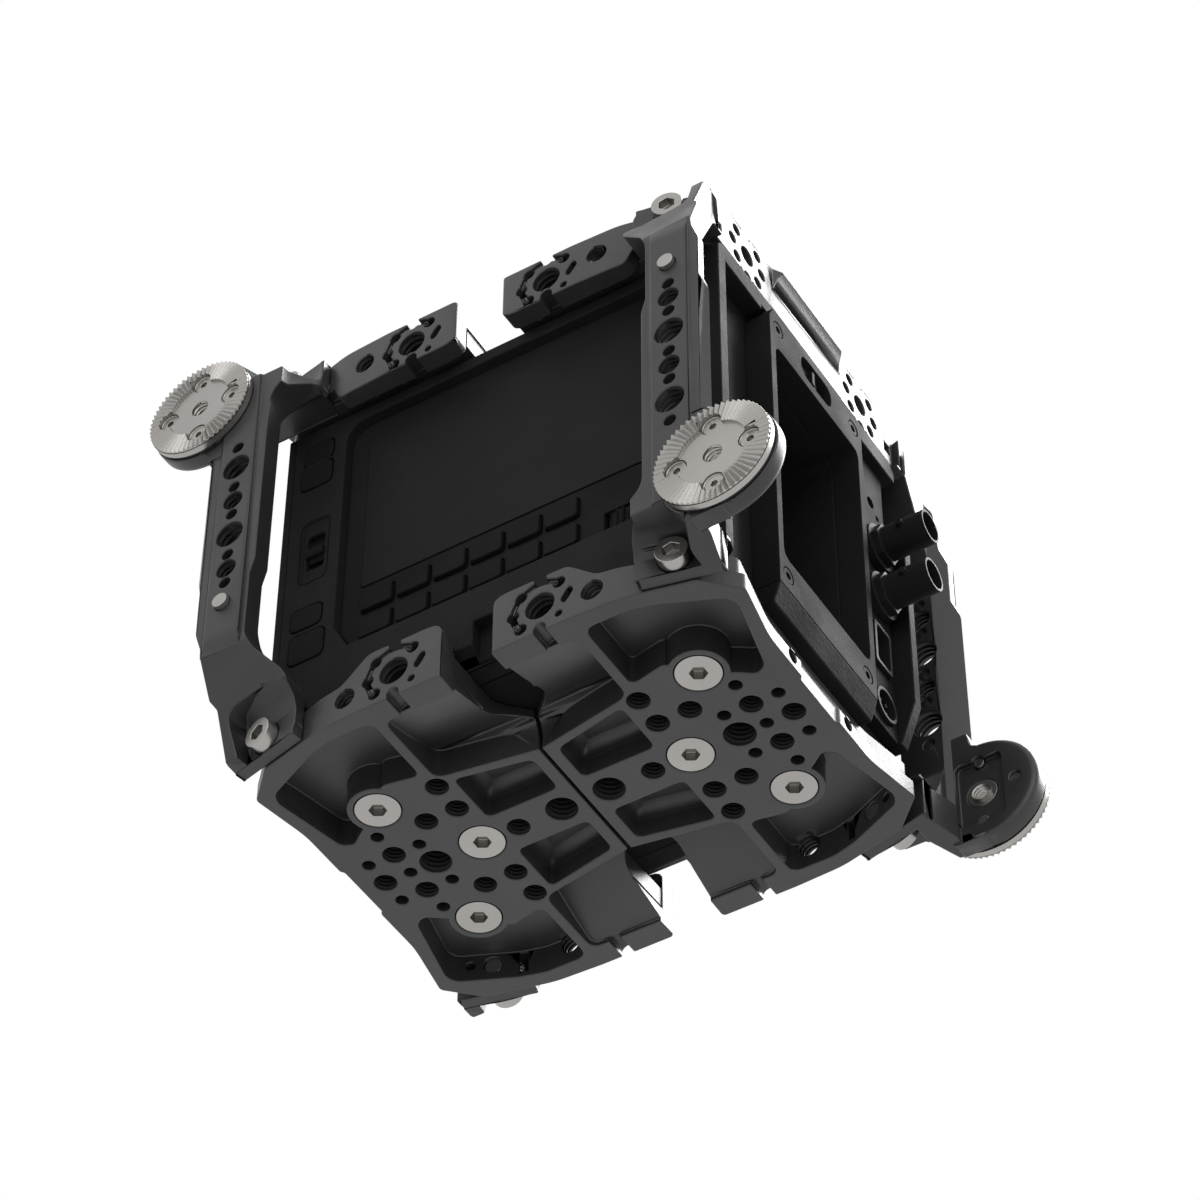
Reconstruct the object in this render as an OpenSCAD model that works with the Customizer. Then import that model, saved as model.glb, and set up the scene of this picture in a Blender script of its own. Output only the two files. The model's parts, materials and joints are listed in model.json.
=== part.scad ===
// Camera cage: two split plates and four side bars bolted round a box camera.
// Origin: on the underside, in the middle of the split between the two base plates.
// X runs across the camera, +Y to the lens, +Z up.

/* [Cage] */
// Height over the flat outer faces of both plates
cage_h = 141.3; // [130:0.1:160]
// Half width of a plate over its side tabs
plate_half_w = 55.5; // [52:0.1:60]
// Length of a half plate from the split to its straight outer edge
plate_l = 66.85; // [62:0.05:72]
// Thickness of a plate under its screws
plate_t = 12.2; // [11.5:0.1:14]
// Gap between the two halves of a plate
split_gap = 0.9; // [0.4:0.1:2]
// Depth of the pockets in a plate
pocket_d = 8.8; // [6:0.1:9.2]
// Thickness of the side walls and tabs of a plate
side_wall_t = 5.9; // [4.5:0.1:7]
// Height of the thinned outer edge of a plate
edge_h = 5.4; // [3:0.1:7]
// Length of each tab on a base plate
base_tab_h = 18.8; // [16:0.1:22]
// Length of each tab on a top plate
top_tab_h = 16.4; // [16.4:0.1:20]
// Thickness of the upright flange on the rear top plate
flange_t = 3.8; // [3:0.1:5]
// Height that the flange stands above the top plate
flange_rise = 5.8; // [4:0.1:8]
// Height that the flange hangs below the face of the top plate
flange_drop = 11.6; // [10:0.1:12]

/* [Mounting holes] */
// Spacing of the hole lattice
pitch = 7.62; // [7:0.01:8]
// Diameter of the small locating holes
small_d = 3.4; // [2.5:0.1:4]
// Diameter of the quarter-inch holes
quarter_d = 5.9; // [5:0.1:6.4]
// Diameter of the three-eighths-inch holes
three_eighths_d = 8.2; // [7.5:0.1:9]
// Distance of the tab holes from the middle plane of the cage
tab_hole_y = 21.1; // [19:0.1:23]
// Height of the middle hole in a tab above the face of its plate
tab_hole_h = 9; // [8.6:0.1:9]

/* [Screws] */
// Diameter of the shank of a plate screw
plate_screw_d = 6; // [5:0.1:6.2]
// Diameter of the head of a plate screw
plate_head_d = 11.8; // [10:0.1:12.4]
// Width across the corners of the socket in a plate screw
plate_hex_d = 4.7; // [4:0.1:5.2]
// Length of a base plate screw
base_screw_l = 18.5; // [17.5:0.1:19]
// Length of a top plate screw
top_screw_l = 15.5; // [14:0.1:16.5]
// Diameter of the shank of a foot screw
foot_screw_d = 5; // [4:0.1:5.5]
// Diameter of the head of a foot screw
foot_head_d = 8.5; // [7.5:0.1:9]
// Height of the head of a foot screw
foot_head_h = 5; // [4:0.1:6]
// Length of the shank of a foot screw
foot_screw_l = 7.6; // [6:0.1:8]

/* [Side bars] */
// Angle of the corner facets against the sides of the camera
facet_a = 13.3; // [10:0.1:16]
// Distance of the foot screws from the middle plane of the cage
foot_y = 57.9; // [56:0.1:59]
// Height of the foot screws above the face of the plate
foot_z = 5.2; // [5:0.1:5.6]
// Thickness of a foot plate
foot_t = 3.6; // [3:0.1:4.5]
// Height over which a foot grows into its bar
foot_h = 34; // [30:0.1:36]
// Distance from the facet to the inner face of a bar, at the foot screw
bar_gap = 10.6; // [9.5:0.1:14]
// Thickness of a bar
bar_t = 6.8; // [6:0.1:8]
// Width of a bar
bar_w = 18.7; // [18:0.1:21]
// Diameter of the locating pin in a bar
pin_d = 4.5; // [3.5:0.1:5]
// Height that the pin stands out of its bar
pin_rise = 1.5; // [0.5:0.1:2.5]

/* [Rosettes] */
// Distance of the rosette centres from the middle plane of the cage
rosette_y = 78.4; // [78:0.1:80]
// Height of the rosette centres above the face of the nearer plate
rosette_z = 16.1; // [16.1:0.1:17]
// Radius of an arm round its rosette
arm_r = 16.3; // [16.1:0.1:16.3]
// Thickness of an arm
arm_t = 5; // [4.5:0.1:5.5]
// Radius of a rosette
rosette_r = 15.9; // [15.2:0.1:16]
// Thickness of a rosette
rosette_t = 2.8; // [2.4:0.1:4]
// Number of teeth round a rosette
tooth_n = 60; // [40:1:72]
// Depth of the teeth at the rim
tooth_d = 0.95; // [0.5:0.05:1.2]
// Radius of the sunk face inside the teeth
hub_r = 9.6; // [9:0.1:10.5]
// Distance of the rosette screws from the centre
rosette_screw_y = 10; // [9.6:0.1:10.5]
// Diameter of the shank of a rosette screw
rosette_screw_d = 3; // [2.5:0.1:3.2]
// Diameter of the head of a rosette screw
rosette_head_d = 5.4; // [4.5:0.1:5.8]
// Bore of the threaded insert and of the rosette
insert_bore_d = 5.2; // [4.5:0.1:6]
// Outer diameter of the threaded insert
insert_d = 8.4; // [7.5:0.1:9]

/* [Camera casing] */
// Gap between the side walls of the plates and the camera
cam_side_gap = 2.3; // [0.5:0.1:3.5]
// Distance from the middle plane to the front of the casing
cam_front = 65.4; // [64:0.1:67]
// Distance from the middle plane to the main rear wall
cam_rear = 62.7; // [61:0.1:64]
// Distance from the middle plane to the rear lip and the top ledge
lip_rear = 68.4; // [66:0.1:70]
// Distance from the middle plane to the edge of the rear wing
wing_rear = 71.5; // [70:0.1:74]
// Thickness of the side walls
cam_wall = 7; // [6.6:0.1:8]
// Thickness of the rear wall
rear_wall = 4; // [3:0.1:5]
// Thickness of the roof
roof_t = 5; // [4.5:0.1:6]
// Thickness of the floor above the base cover
floor_t = 3.5; // [3:0.1:5]
// Thickness of the base cover
base_cover_t = 4; // [3:0.1:5]
// Half width of the base cover
base_cover_half_w = 36.7; // [35:0.1:38]
// Thickness of the front cover
front_cover_t = 2.4; // [2:0.1:4]

/* [Battery bay] */
// Half width of the raised frame
frame_half_w = 24.5; // [24:0.1:26]
// Height of the lower edge of the frame
frame_z0 = 19; // [18:0.1:20]
// Distance from the top of the casing to the upper edge of the frame
frame_drop = 5.4; // [5:0.1:6.3]
// Distance from the middle plane to the face of the frame
frame_rear = 70.5; // [69:0.1:71]
// Half width of the bay
bay_half_w = 21.8; // [20:0.1:22]
// Height of the lower edge of the bay
bay_z0 = 30.1; // [29:0.1:34]
// Distance from the upper edge of the frame to the upper edge of the bay
bay_drop = 14.1; // [13:0.1:18]
// Depth of the bay
bay_d = 28; // [20:0.1:40]
// Thickness of the walls of the bay
bay_wall = 1.5; // [1:0.1:2]
// Width of the latch window
latch_window_w = 16; // [14:0.1:18]
// Height of the latch window
latch_window_h = 7.7; // [6:0.1:8.5]
// Travel of the latch
latch_travel = 3.5; // [2:0.1:4]

/* [Rear sockets] */
// Distance from the middle plane to the socket panel
panel_rear = 66; // [65:0.1:67]
// Distance of the video jacks from the side of the camera
jack_side = 10.7; // [10.6:0.1:11.2]
// Height of the upper video jack
jack_z = 87.2; // [84:0.1:90]
// Spacing of the two video jacks
jack_pitch = 18.3; // [16:0.1:20]
// Outer diameter of a jack's tube
jack_d = 9.7; // [9:0.1:10.5]
// Bore of a jack's tube
jack_bore_d = 8.1; // [7:0.1:8.5]
// Length of a jack outside the panel
jack_l = 17; // [15:0.1:20]
// Diameter of a jack's flange
jack_flange_d = 14; // [13:0.1:14.4]

/* [Controls] */
// Depth of the control recess in the left side
recess_d = 3; // [2:0.1:3.2]
// Thickness of the control panel
control_t = 2; // [1.8:0.1:2.2]
// Width of a key
key_w = 9.5; // [8:0.1:10]
// Height of a key
key_h = 7; // [6:0.1:8]
// Height of a key above its panel
key_rise = 1.3; // [0.9:0.1:2]
// Spacing of the keys along a row
key_pitch = 11.07; // [10.7:0.01:11.3]
// Height of the upper row of keys
key_z = 52; // [51:0.1:53]
// Spacing of the two rows of keys
key_row_pitch = 9.8; // [9.2:0.1:10]
// Travel of the keys and buttons
key_travel = 0.8; // [0.3:0.1:0.9]
// Travel of the slide switch to each side of its middle
switch_travel = 2.5; // [1:0.1:3]
// Radius of the thumb wheel
wheel_r = 5; // [4.6:0.1:5.2]

/* [Hidden] */
$fn = 48;

// Overrun of every cut past the face that it opens
over = 1;
// Steps in each rounded corner
corner_steps = 4;
// Clearance round a part that is pushed or slid
run_gap = 0.3;
// Clearance between a fixed part and its hole or pocket
fit_gap = 0.15;
// Clearance round a screw or pin that is held in its hole
screw_gap = 0.05;
// Clearance of the thumb wheel's bore on its axle
axle_gap = 0.05;
// Seat clearance between the plates and the camera
seat_gap = 0.3;

// Colours
plate_color = [0.16, 0.16, 0.17];
bar_color = [0.2, 0.2, 0.21];
steel_color = [0.75, 0.73, 0.7];
casing_color = [0.09, 0.09, 0.09];
trim_color = [0.13, 0.13, 0.13];
key_color = [0.11, 0.11, 0.11];
glass_color = [0.05, 0.05, 0.06];
contact_color = [0.8, 0.65, 0.3];
board_color = [0.1, 0.3, 0.18];

// Points with a third value of zero stay sharp; any other value is the setback of a rounded corner.
function way(p, q) = [q[0] - p[0], q[1] - p[1]] / norm([q[0] - p[0], q[1] - p[1]]);
function gap(p, q) = norm([q[0] - p[0], q[1] - p[1]]);
function bend(p, u, v, r, s) = [p[0], p[1]] + r * (u * (1 - s) * (1 - s) + v * s * s);
// A rounded corner never takes more than just under half of the shorter side beside it.
function setback(a, p, b) = min(p[2], side_limit_share * gap(a, p), side_limit_share * gap(p, b));
function corner(a, p, b) = p[2] == 0 ? [[p[0], p[1]]]
  : [for (k = [0 : corner_steps]) bend(p, way(p, a), way(p, b), setback(a, p, b), k / corner_steps)];
side_limit_share = 0.47;
// Share of a slot's width that rounds its end fully.
full_round_share = 0.48;
function soft(pts) = let (n = len(pts))
  [for (i = [0 : n - 1]) each corner(pts[(i + n - 1) % n], pts[i], pts[(i + 1) % n])];

// Turns a table of shares into points; the third share is taken of r.
function sized(shares, w, l, r) = [for (s = shares) [s[0] * w, s[1] * l, s[2] * r]];
function box_pts(w, h, r) = [[-w / 2, -h / 2, r], [w / 2, -h / 2, r], [w / 2, h / 2, r], [-w / 2, h / 2, r]];

// An outline in Y and Z carried along X, and one in X and Z carried along Y.
module along_x(x0, x1) { translate([x0, 0, 0]) rotate([90, 0, 90]) linear_extrude(x1 - x0) children(); }
module along_y(y0, y1) { translate([0, y1, 0]) rotate([90, 0, 0]) linear_extrude(y1 - y0) children(); }
// A cylinder along X or Y from one place to the next.
module rod_x(d, x0, x1) { translate([x0, 0, 0]) rotate([0, 90, 0]) cylinder(d = d, h = x1 - x0); }
module rod_y(d, y0, y1) { translate([0, y1, 0]) rotate([90, 0, 0]) cylinder(d = d, h = y1 - y0); }
module block(lo, hi) { translate(lo) cube(hi - lo); }
module sides_x() { children(); mirror([1, 0, 0]) children(); }
module to_rear() { mirror([0, 1, 0]) children(); }
module to_top() { translate([0, 0, cage_h]) mirror([0, 0, 1]) children(); }

// Plates

// Outline of a half plate, in shares of its half width and its length.
plate_edge_shares = [[0, 0, 0], [0.423, 0, 0], [0.495, 0.068, 0.03], [0.568, 0.11, 0.03],
  [0.865, 0.104, 0], [1, 0.101, 0.02], [1, 0.427, 0], [0.989, 0.636, 0.045], [0.908, 0.921, 0.015],
  [0.881, 0.945, 0.015], [0.757, 1.048, 0.015], [0.45, 1, 0.045], [0.171, 1, 0.007],
  [0.153, 0.988, 0.007], [0, 0.988, 0]];
// Outline of the full thickness, a little inside the edge.
plate_deck_shares = [[0, 0, 0], [0.423, 0, 0], [0.495, 0.068, 0.03], [0.568, 0.11, 0.03],
  [0.905, 0.107, 0], [0.905, 0.85, 0.03], [0.87, 0.925, 0.015], [0.748, 1.019, 0.015],
  [0.45, 0.972, 0.045], [0, 0.966, 0]];
inner_pocket_shares = [[0.126, 0.049, 0.03], [0.339, 0.049, 0.03], [0.413, 0.357, 0.03],
  [0.126, 0.357, 0.03]];
tab_pocket_shares = [[0.373, -0.037, 0], [0.463, 0.409, 0.045], [0.876, 0.409, 0.045],
  [0.876, -0.037, 0]];
corner_pocket_shares = [[0.512, 0.451, 0.037], [0.551, 0.607, 0.03], [0.422, 0.689, 0],
  [0.346, 0.804, 0.03], [0.288, 0.87, 0.022], [0.315, 0.913, 0.03], [0.694, 0.985, 0.022],
  [0.748, 0.966, 0.03], [0.87, 0.741, 0], [0.906, 0.636, 0.03], [0.906, 0.451, 0.045]];
// Sloping floor of the tab pocket, in shares of the half width and the pocket depth.
tab_floor_shares = [[0.351, -0.2, 0], [0.405, 1, 0.2], [0.486, 1.04, 0.25], [0.649, 0.57, 0.6],
  [0.901, 0.1, 0], [0.901, -0.2, 0]];
// Side walls, in shares of the plate's length and thickness; the tab's height is put in.
function wall_pts(tab_h, tab_end_share, slope_end_share) = concat([
  [plate_l * tab_start_share, 0, 0],
  [plate_l * tab_start_share, tab_h, plate_t * tab_round_share],
  [plate_l * tab_end_share, tab_h, plate_t * slope_round_share],
  [plate_l * slope_end_share, plate_t * slope_foot_share, plate_t * slope_round_share]],
  sized(wall_low_shares, plate_l, plate_t, 0));
tab_start_share = 0.098;
slope_foot_share = 0.967;
wall_low_shares = [[0.7, 0.869, 0], [1.055, 0.869, 0], [1.055, 0, 0]];
tab_round_share = 0.36;
slope_round_share = 0.16;
base_tab_end_share = 0.424;
base_slope_end_share = 0.547;
top_tab_end_share = 0.66;
top_slope_end_share = 0.69;

// Places in the lattice, in shares of its pitch, measured from its middle.
lattice_y_share = 6.83;
lattice_y = lattice_y_share * pitch;
lattice_small_shares = [[0, 0], [1, 1], [1, -1], [2, 0]];
lattice_quarter_shares = [[1, 0], [0, 1], [1.8, -1.8], [1.8, -3], [3, -3], [0, -4.25]];
lattice_wide_shares = [[0, -1], [0, -5.92]];
// Middles of the plate screws, in shares of the pitch from the middle of the lattice.
plate_screw_shares = [[0, -2.83], [3.07, -0.73], [-3.07, -0.73]];
// Round boss left standing in the corner pocket round its screw.
boss_share = 1.33;
boss_r = boss_share * plate_head_d / 2;
sink_d = plate_head_d + 2 * run_gap;
// Straight part of a screw head's rim and of its sink.
rim_h = 0.7;
// Half-round notch in the edges of tabs and flanges.
notch_w = 3.5;
notch_d = 3;
// Height of the hole beside a tab on the base and top plates, and its distance from the middle plane.
base_side_hole = [35.6, 6.9];
top_side_hole = [36.3, 7.8];
// Locating slot and spare hole in the corner facets.
slot_w = 2.2;
slot_h = 6.4;
slot_off = 8.2;
spare_off = 5.8;
spare_d = 2.6;
// Small holes in the outer edge of a plate.
edge_hole_d = 3.6;
edge_hole_x = 1.8 * pitch;
edge_hole_depth = 4;
edge_hole_z = 3.5;

// Where the foot screw's axis meets the facet.
facet_corner = plate_edge_shares[7];
facet_x0 = plate_half_w * facet_corner[0];
facet_y0 = split_gap / 2 + plate_l * facet_corner[1];
foot_x = facet_x0 - (foot_y - facet_y0) * tan(facet_a);
module at_facet() { translate([foot_x, foot_y, 0]) rotate([0, 0, facet_a]) children(); }

module plate_outline(shares) { polygon(soft(both_sides_once(sized(shares, plate_half_w, plate_l, plate_l)))); }
// The first and last points lie on the middle line, so they are not repeated.
function both_sides_once(pts) = concat(pts, [for (i = [len(pts) - 2 : -1 : 1]) [-pts[i][0], pts[i][1], pts[i][2]]]);

module pocket(shares) {
  linear_extrude(pocket_d + over) polygon(soft(sized(shares, plate_half_w, plate_l, plate_l)));
}

module facet_cut() {
  at_facet() translate([0, -plate_l, -over]) cube([plate_half_w, 2 * plate_l, 4 * plate_t]);
}

module plate_pockets() {
  translate([0, split_gap / 2, -over]) {
    pocket(inner_pocket_shares);
    difference() {
      pocket(corner_pocket_shares);
      translate([pitch * plate_screw_shares[1][0], lattice_y - split_gap / 2 + pitch * plate_screw_shares[1][1], 0])
        translate([0, 0, -over]) cylinder(r = boss_r, h = pocket_d + 3 * over);
    }
  }
  intersection() {
    translate([0, split_gap / 2, -over]) linear_extrude(plate_t)
      polygon(soft(sized(tab_pocket_shares, plate_half_w, plate_l, plate_l)));
    along_y(-over, plate_l) polygon(soft(sized(tab_floor_shares, plate_half_w, pocket_d, pocket_d)));
  }
}

module lattice_holes(shares, d) {
  for (s = shares)
    translate([pitch * s[0], lattice_y + pitch * s[1], -over]) cylinder(d = d, h = plate_t + 2 * over);
}

// Sink, cone and shank hole of one countersunk plate screw.
module screw_sink() {
  translate([0, 0, -over]) cylinder(d = sink_d, h = rim_h + over);
  translate([0, 0, rim_h])
    cylinder(d1 = sink_d, d2 = plate_screw_d + 2 * run_gap, h = (sink_d - plate_screw_d) / 2 - run_gap);
  translate([0, 0, -over]) cylinder(d = plate_screw_d + 2 * run_gap, h = plate_t + 2 * over);
}

// One locating pattern on the YZ plane: a wide hole with six small ones.
pattern_angles = [0, 45, 135, 180, 225, 315];
module ring_pattern(d, depth) {
  rod_x(d, -depth - over, over);
  for (a = pattern_angles)
    rotate([a, 0, 0]) translate([0, pitch, 0]) rod_x(small_d, -depth - over, over);
}

// The pattern of a tab has a groove from hole to hole, a slanted slot and a pin hole.
// y and z are 1 or -1 and turn the pattern so that it looks the same from outside on every tab.
tab_angles = [-45, 0, 45, 135];
pin_hole_angle = 225;
pin_hole_d = 2;
groove_w = 1.7;
groove_d = 1.2;
groove_step = 15;
slant_slot = [[-1.7, 0.6], [-1.4, 2], [-0.5, 2.4], [0.3, 1.6], [1.7, -0.6], [1.4, -2], [0.5, -2.4], [-0.3, -1.6]];
function groove_side(r, y, z, from, to, step) = [for (a = [from : step : to]) [y * r * cos(a), z * r * sin(a)]];
module tab_pattern(y, z) {
  rod_x(three_eighths_d, -side_wall_t - over, over);
  for (a = tab_angles)
    translate([0, y * pitch * cos(a), z * pitch * sin(a)]) rod_x(small_d, -side_wall_t - over, over);
  translate([0, y * pitch * cos(pin_hole_angle), z * pitch * sin(pin_hole_angle)])
    rod_x(pin_hole_d, -side_wall_t - over, over);
  along_x(-side_wall_t - over, over) polygon([for (p = slant_slot) [y * (p[0] - pitch), z * p[1]]]);
  along_x(-groove_d, over) polygon(concat(
    groove_side(pitch + groove_w / 2, y, z, tab_angles[0], tab_angles[3], groove_step),
    groove_side(pitch - groove_w / 2, y, z, tab_angles[3], tab_angles[0], -groove_step)));
}

// Notch across the edge of a tab: a slot with a half-round bottom.
module notch() {
  rod_x(notch_w, -side_wall_t - over, over);
  block([-side_wall_t - over, -notch_w / 2, 0], [over, notch_w / 2, notch_d + over]);
}

module tab_notches(tab_h) {
  translate([plate_half_w, tab_hole_y, tab_h - notch_d + notch_w / 2]) notch();
  translate([plate_half_w, tab_hole_y, notch_d - notch_w / 2]) mirror([0, 0, 1]) notch();
}

module facet_holes() {
  at_facet() {
    translate([0, 0, foot_z]) rod_x(foot_screw_d + 2 * screw_gap, -side_wall_t - 3 * over, over);
    translate([0, spare_off, foot_z]) rod_x(spare_d, -side_wall_t - 3 * over, over);
    block([-side_wall_t - 2 * over, -slot_off - slot_w / 2, foot_z - slot_h / 2],
      [over, -slot_off + slot_w / 2, foot_z + slot_h / 2]);
  }
}

// front is 1 for a front half and -1 for a rear one; up is 1 for a base plate and -1 for a top one.
module half_plate(tab_h, tab_end_share, slope_end_share, side_hole, front, up) {
  difference() {
    union() {
      translate([0, split_gap / 2, 0]) {
        linear_extrude(edge_h) plate_outline(plate_edge_shares);
        linear_extrude(plate_t) plate_outline(plate_deck_shares);
      }
      intersection() {
        translate([0, split_gap / 2, 0]) linear_extrude(tab_h) plate_outline(plate_edge_shares);
        sides_x() translate([0, split_gap / 2, 0]) along_x(plate_half_w - side_wall_t, plate_half_w + over)
          polygon(soft(wall_pts(tab_h, tab_end_share, slope_end_share)));
      }
    }
    sides_x() {
      plate_pockets();
      lattice_holes(lattice_small_shares, small_d);
      lattice_holes(lattice_quarter_shares, quarter_d);
      tab_notches(tab_h);
      translate([plate_half_w, side_hole[0], side_hole[1]]) rod_x(quarter_d, -side_wall_t - 2 * over, over);
      facet_holes();
      translate([edge_hole_x, plate_l + split_gap / 2, edge_hole_z]) rod_y(edge_hole_d, -edge_hole_depth, over);
    }
    translate([plate_half_w, tab_hole_y, tab_hole_h]) tab_pattern(-front, up);
    mirror([1, 0, 0]) translate([plate_half_w, tab_hole_y, tab_hole_h]) tab_pattern(front, up);
    lattice_holes(lattice_wide_shares, three_eighths_d);
    for (s = plate_screw_shares) translate([pitch * s[0], lattice_y + pitch * s[1], 0]) screw_sink();
  }
}

module base_plate(front) {
  color(plate_color) half_plate(base_tab_h, base_tab_end_share, base_slope_end_share, base_side_hole, front, 1);
}

// Rear flange: two pads with a hole pattern each and a lipped block between them.
block_half_w = 17.75;
block_root_half_w = 19.95;
lip_half_w = 12.75;
block_proud = 0.8;
lip_proud = 3.7;
lip_h = 3.3;
flange_x = 4 * pitch;
flange_hole_drop = 3;
flange_end_share = 0.883;
flange_slot_x = 45.6;
flange_slot_w = 3.3;
flange_slot_h = 3.5;
flange_slot_drop = 6.1;
module flange_profile() {
  root = plate_l + split_gap / 2 + block_proud;
  polygon([[root - 2 * flange_t, flange_drop + run_gap], [root, flange_drop + run_gap],
    [root, flange_drop / 2], [root + lip_proud / 12, flange_drop / 4], [root + lip_proud / 3, -lip_h / 4],
    [root + block_proud + lip_proud / 2, -lip_h], [root, -flange_rise + over],
    [root - flange_t, -flange_rise + over],
    [root - 2 * flange_t, 0]]);
}
flange_face = plate_l + split_gap / 2 + block_proud / 2;
flange_end_x = plate_half_w * flange_end_share;
module flange_blank() {
  sides_x() block([block_half_w - over, flange_face - flange_t, -flange_rise],
    [flange_end_x, flange_face, flange_drop]);
  intersection() {
    along_x(-block_root_half_w, block_root_half_w) flange_profile();
    linear_extrude(4 * plate_t, center = true) polygon([
      [-block_root_half_w, flange_face - 4 * flange_t], [-block_root_half_w, flange_face],
      [-block_half_w, flange_face + block_proud], [-lip_half_w, flange_face + 2 * lip_proud],
      [lip_half_w, flange_face + 2 * lip_proud], [block_half_w, flange_face + block_proud],
      [block_root_half_w, flange_face], [block_root_half_w, flange_face - 4 * flange_t]]);
  }
}
// Everything cut through the flange and the edge of the plate behind it.
module flange_cuts() {
  block([block_root_half_w, flange_face, -flange_rise - over],
    [flange_end_x, flange_face + 2 * lip_proud, 2 * plate_t]);
  translate([flange_x, flange_face, flange_hole_drop]) rotate([0, 0, 90]) ring_pattern(quarter_d, 2 * flange_t);
  for (z = [-flange_rise, flange_drop])
    translate([flange_x, 0, z]) rod_y(notch_w, flange_face - flange_t - over, flange_face + over);
  block([flange_slot_x - flange_slot_w / 2, flange_face - 2 * flange_t, flange_slot_drop - flange_slot_h / 2],
    [flange_slot_x + flange_slot_w / 2, flange_face + over, flange_slot_drop + flange_slot_h / 2]);
  facet_cut();
}

module top_plate(front) {
  half_plate(top_tab_h, top_tab_end_share, top_slope_end_share, top_side_hole, front, -1);
}

module base_plate_rear() { to_rear() base_plate(-1); }
module base_plate_front() { base_plate(1); }
module top_plate_rear() {
  color(plate_color) to_top() to_rear() difference() {
    union() {
      top_plate(-1);
      flange_blank();
    }
    sides_x() flange_cuts();
  }
}
module top_plate_front() { color(plate_color) to_top() top_plate(1); }

// Screws

module plate_screw(l) {
  cone_h = (plate_head_d - plate_screw_d) / 2;
  difference() {
    union() {
      translate([0, 0, screw_gap]) cylinder(d = plate_head_d, h = rim_h - screw_gap);
      translate([0, 0, rim_h]) cylinder(d1 = plate_head_d, d2 = plate_screw_d, h = cone_h);
      translate([0, 0, rim_h]) cylinder(d = plate_screw_d, h = l - rim_h);
    }
    translate([0, 0, -over]) cylinder(d = plate_hex_d, h = cone_h + over, $fn = 6);
  }
}
module screw_set(l) {
  color(steel_color) for (s = plate_screw_shares)
    translate([pitch * s[0], lattice_y + pitch * s[1], 0]) plate_screw(l);
}
module base_screws() {
  screw_set(base_screw_l);
  to_rear() screw_set(base_screw_l);
}
module top_screws() {
  to_top() {
    screw_set(top_screw_l);
    to_rear() screw_set(top_screw_l);
  }
}

foot_sink = 1.6;
module foot_screw() {
  seat = foot_t - foot_sink;
  translate([0, 0, foot_z]) difference() {
    union() {
      rod_x(foot_head_d, seat, seat + foot_head_h);
      rod_x(foot_screw_d, seat - foot_screw_l, seat);
    }
    translate([seat + foot_head_h / 2, 0, 0]) rotate([0, 90, 0])
      cylinder(d = plate_hex_d, h = foot_head_h, $fn = 6);
  }
}
module four_corners() {
  sides_x() {
    children();
    mirror([0, 1, 0]) children();
  }
}
module foot_screws() {
  color(steel_color) four_corners() {
    at_facet() foot_screw();
    to_top() at_facet() foot_screw();
  }
}

// Side bars. Drawn in the front right corner with the rosette foot at the bottom.

bar_x = foot_x + bar_gap;
bar_out = bar_x + bar_t;
bar_set_share = 0.03;
bar_y = foot_y - bar_set_share * bar_w;
bar_hole_share = 0.42;
hole_y = foot_y + bar_hole_share * bar_w;
foot_w = bar_gap + bar_t;
slab_z0 = 0.7;
slab_z1 = 12.4;
slab_in = 9.5;
slab_out = 11.3;
bowl_r = 8.4;
// Section of the bar, in shares of its thickness and width; its inner side runs on into the feet.
bar_section_shares = [[0.882, -0.55], [0.882, 0.144], [1, 0.176], [1, 0.722], [0.882, 0.754],
  [0.882, 0.882], [0.618, 1], [0, 0.658], [-2.4, 0.658], [-2.4, -0.55]];
// Side view along X: heights in shares of the foot height, from the rosette end and from the plain end.
low_inner_shares = [[-0.465, 0.021, 0], [-0.465, 0.34, 0.03], [0, 0.574, 0.1]];
low_outer_shares = [[1, 1.059, 0.05], [0.9, 0.85, 0], [0.85, 0.6, 0], [0.85, 0.021, 0]];
high_inner_shares = [[0, 1.715, 0], [0.07, 1.568, 0], [0.07, 0.93, 0.05], [-0.03, 0.79, 0.05],
  [-0.465, 0.5, 0.08], [-0.465, 0.12, 0.03], [-0.37, 0.021, 0.03]];
high_outer_shares = [[0.706, 0.021, 0.02], [0.797, 0.95, 0], [0.893, 1.12, 0], [0.893, 1.538, 0], [1, 1.715, 0]];
// Side view along Y, in shares of the foot's reach and its height.
low_reach_shares = [[-0.25, 0.021, 0], [-0.25, 0.365, 0], [0.237, 0.365, 0.05], [0.61, 0.765, 0.05]];
high_reach_shares = [[0.61, 1.059, 0.05], [0.0074, 0.374, 0.03], [-0.25, 0.374, 0], [-0.25, 0.021, 0],
  [0.3, 0.021, 0.02], [1, 0.93, 0.1]];
// Fin that ties the rosette foot to its arm, in shares of the foot's reach and the bar's width.
fin_shares = [[-0.067, 0.412, 0], [0.392, 0.412, 0.1], [0.966, 0.626, 0], [0.966, 0.79, 0.08],
  [0.593, 0.806, 0.08], [-0.044, 0.636, 0.04]];
// Relief above the rosette foot's plate, in shares of the foot's reach and the screw height.
relief_shares = [[0, -1, 0], [0, 1.35, 0], [0.06, 1.85, 0.08], [0.3, 2.05, 0.1], [0.75, 2, 0], [2, 2, 0], [2, -1, 0]];
// Slanting inner side of the rosette foot in plan, in shares of the foot's reach and the bar's width.
flare_shares = [[-0.06, -0.465], [0.33, -0.465], [0.5, -0.4], [0.81, -0.2], [1.1, -0.15], [1.1, -0.6], [-0.06, -0.6]];
// Bowl round the plain foot's screw, in shares of its radius.
bowl_shares = [[-2, -0.8, 0], [0.81, -0.8, 0], [0.81, 0.98, 0.5], [-0.62, 1.25, 0.1], [-0.72, 1.8, 0.1], [-2, 3, 0]];
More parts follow.
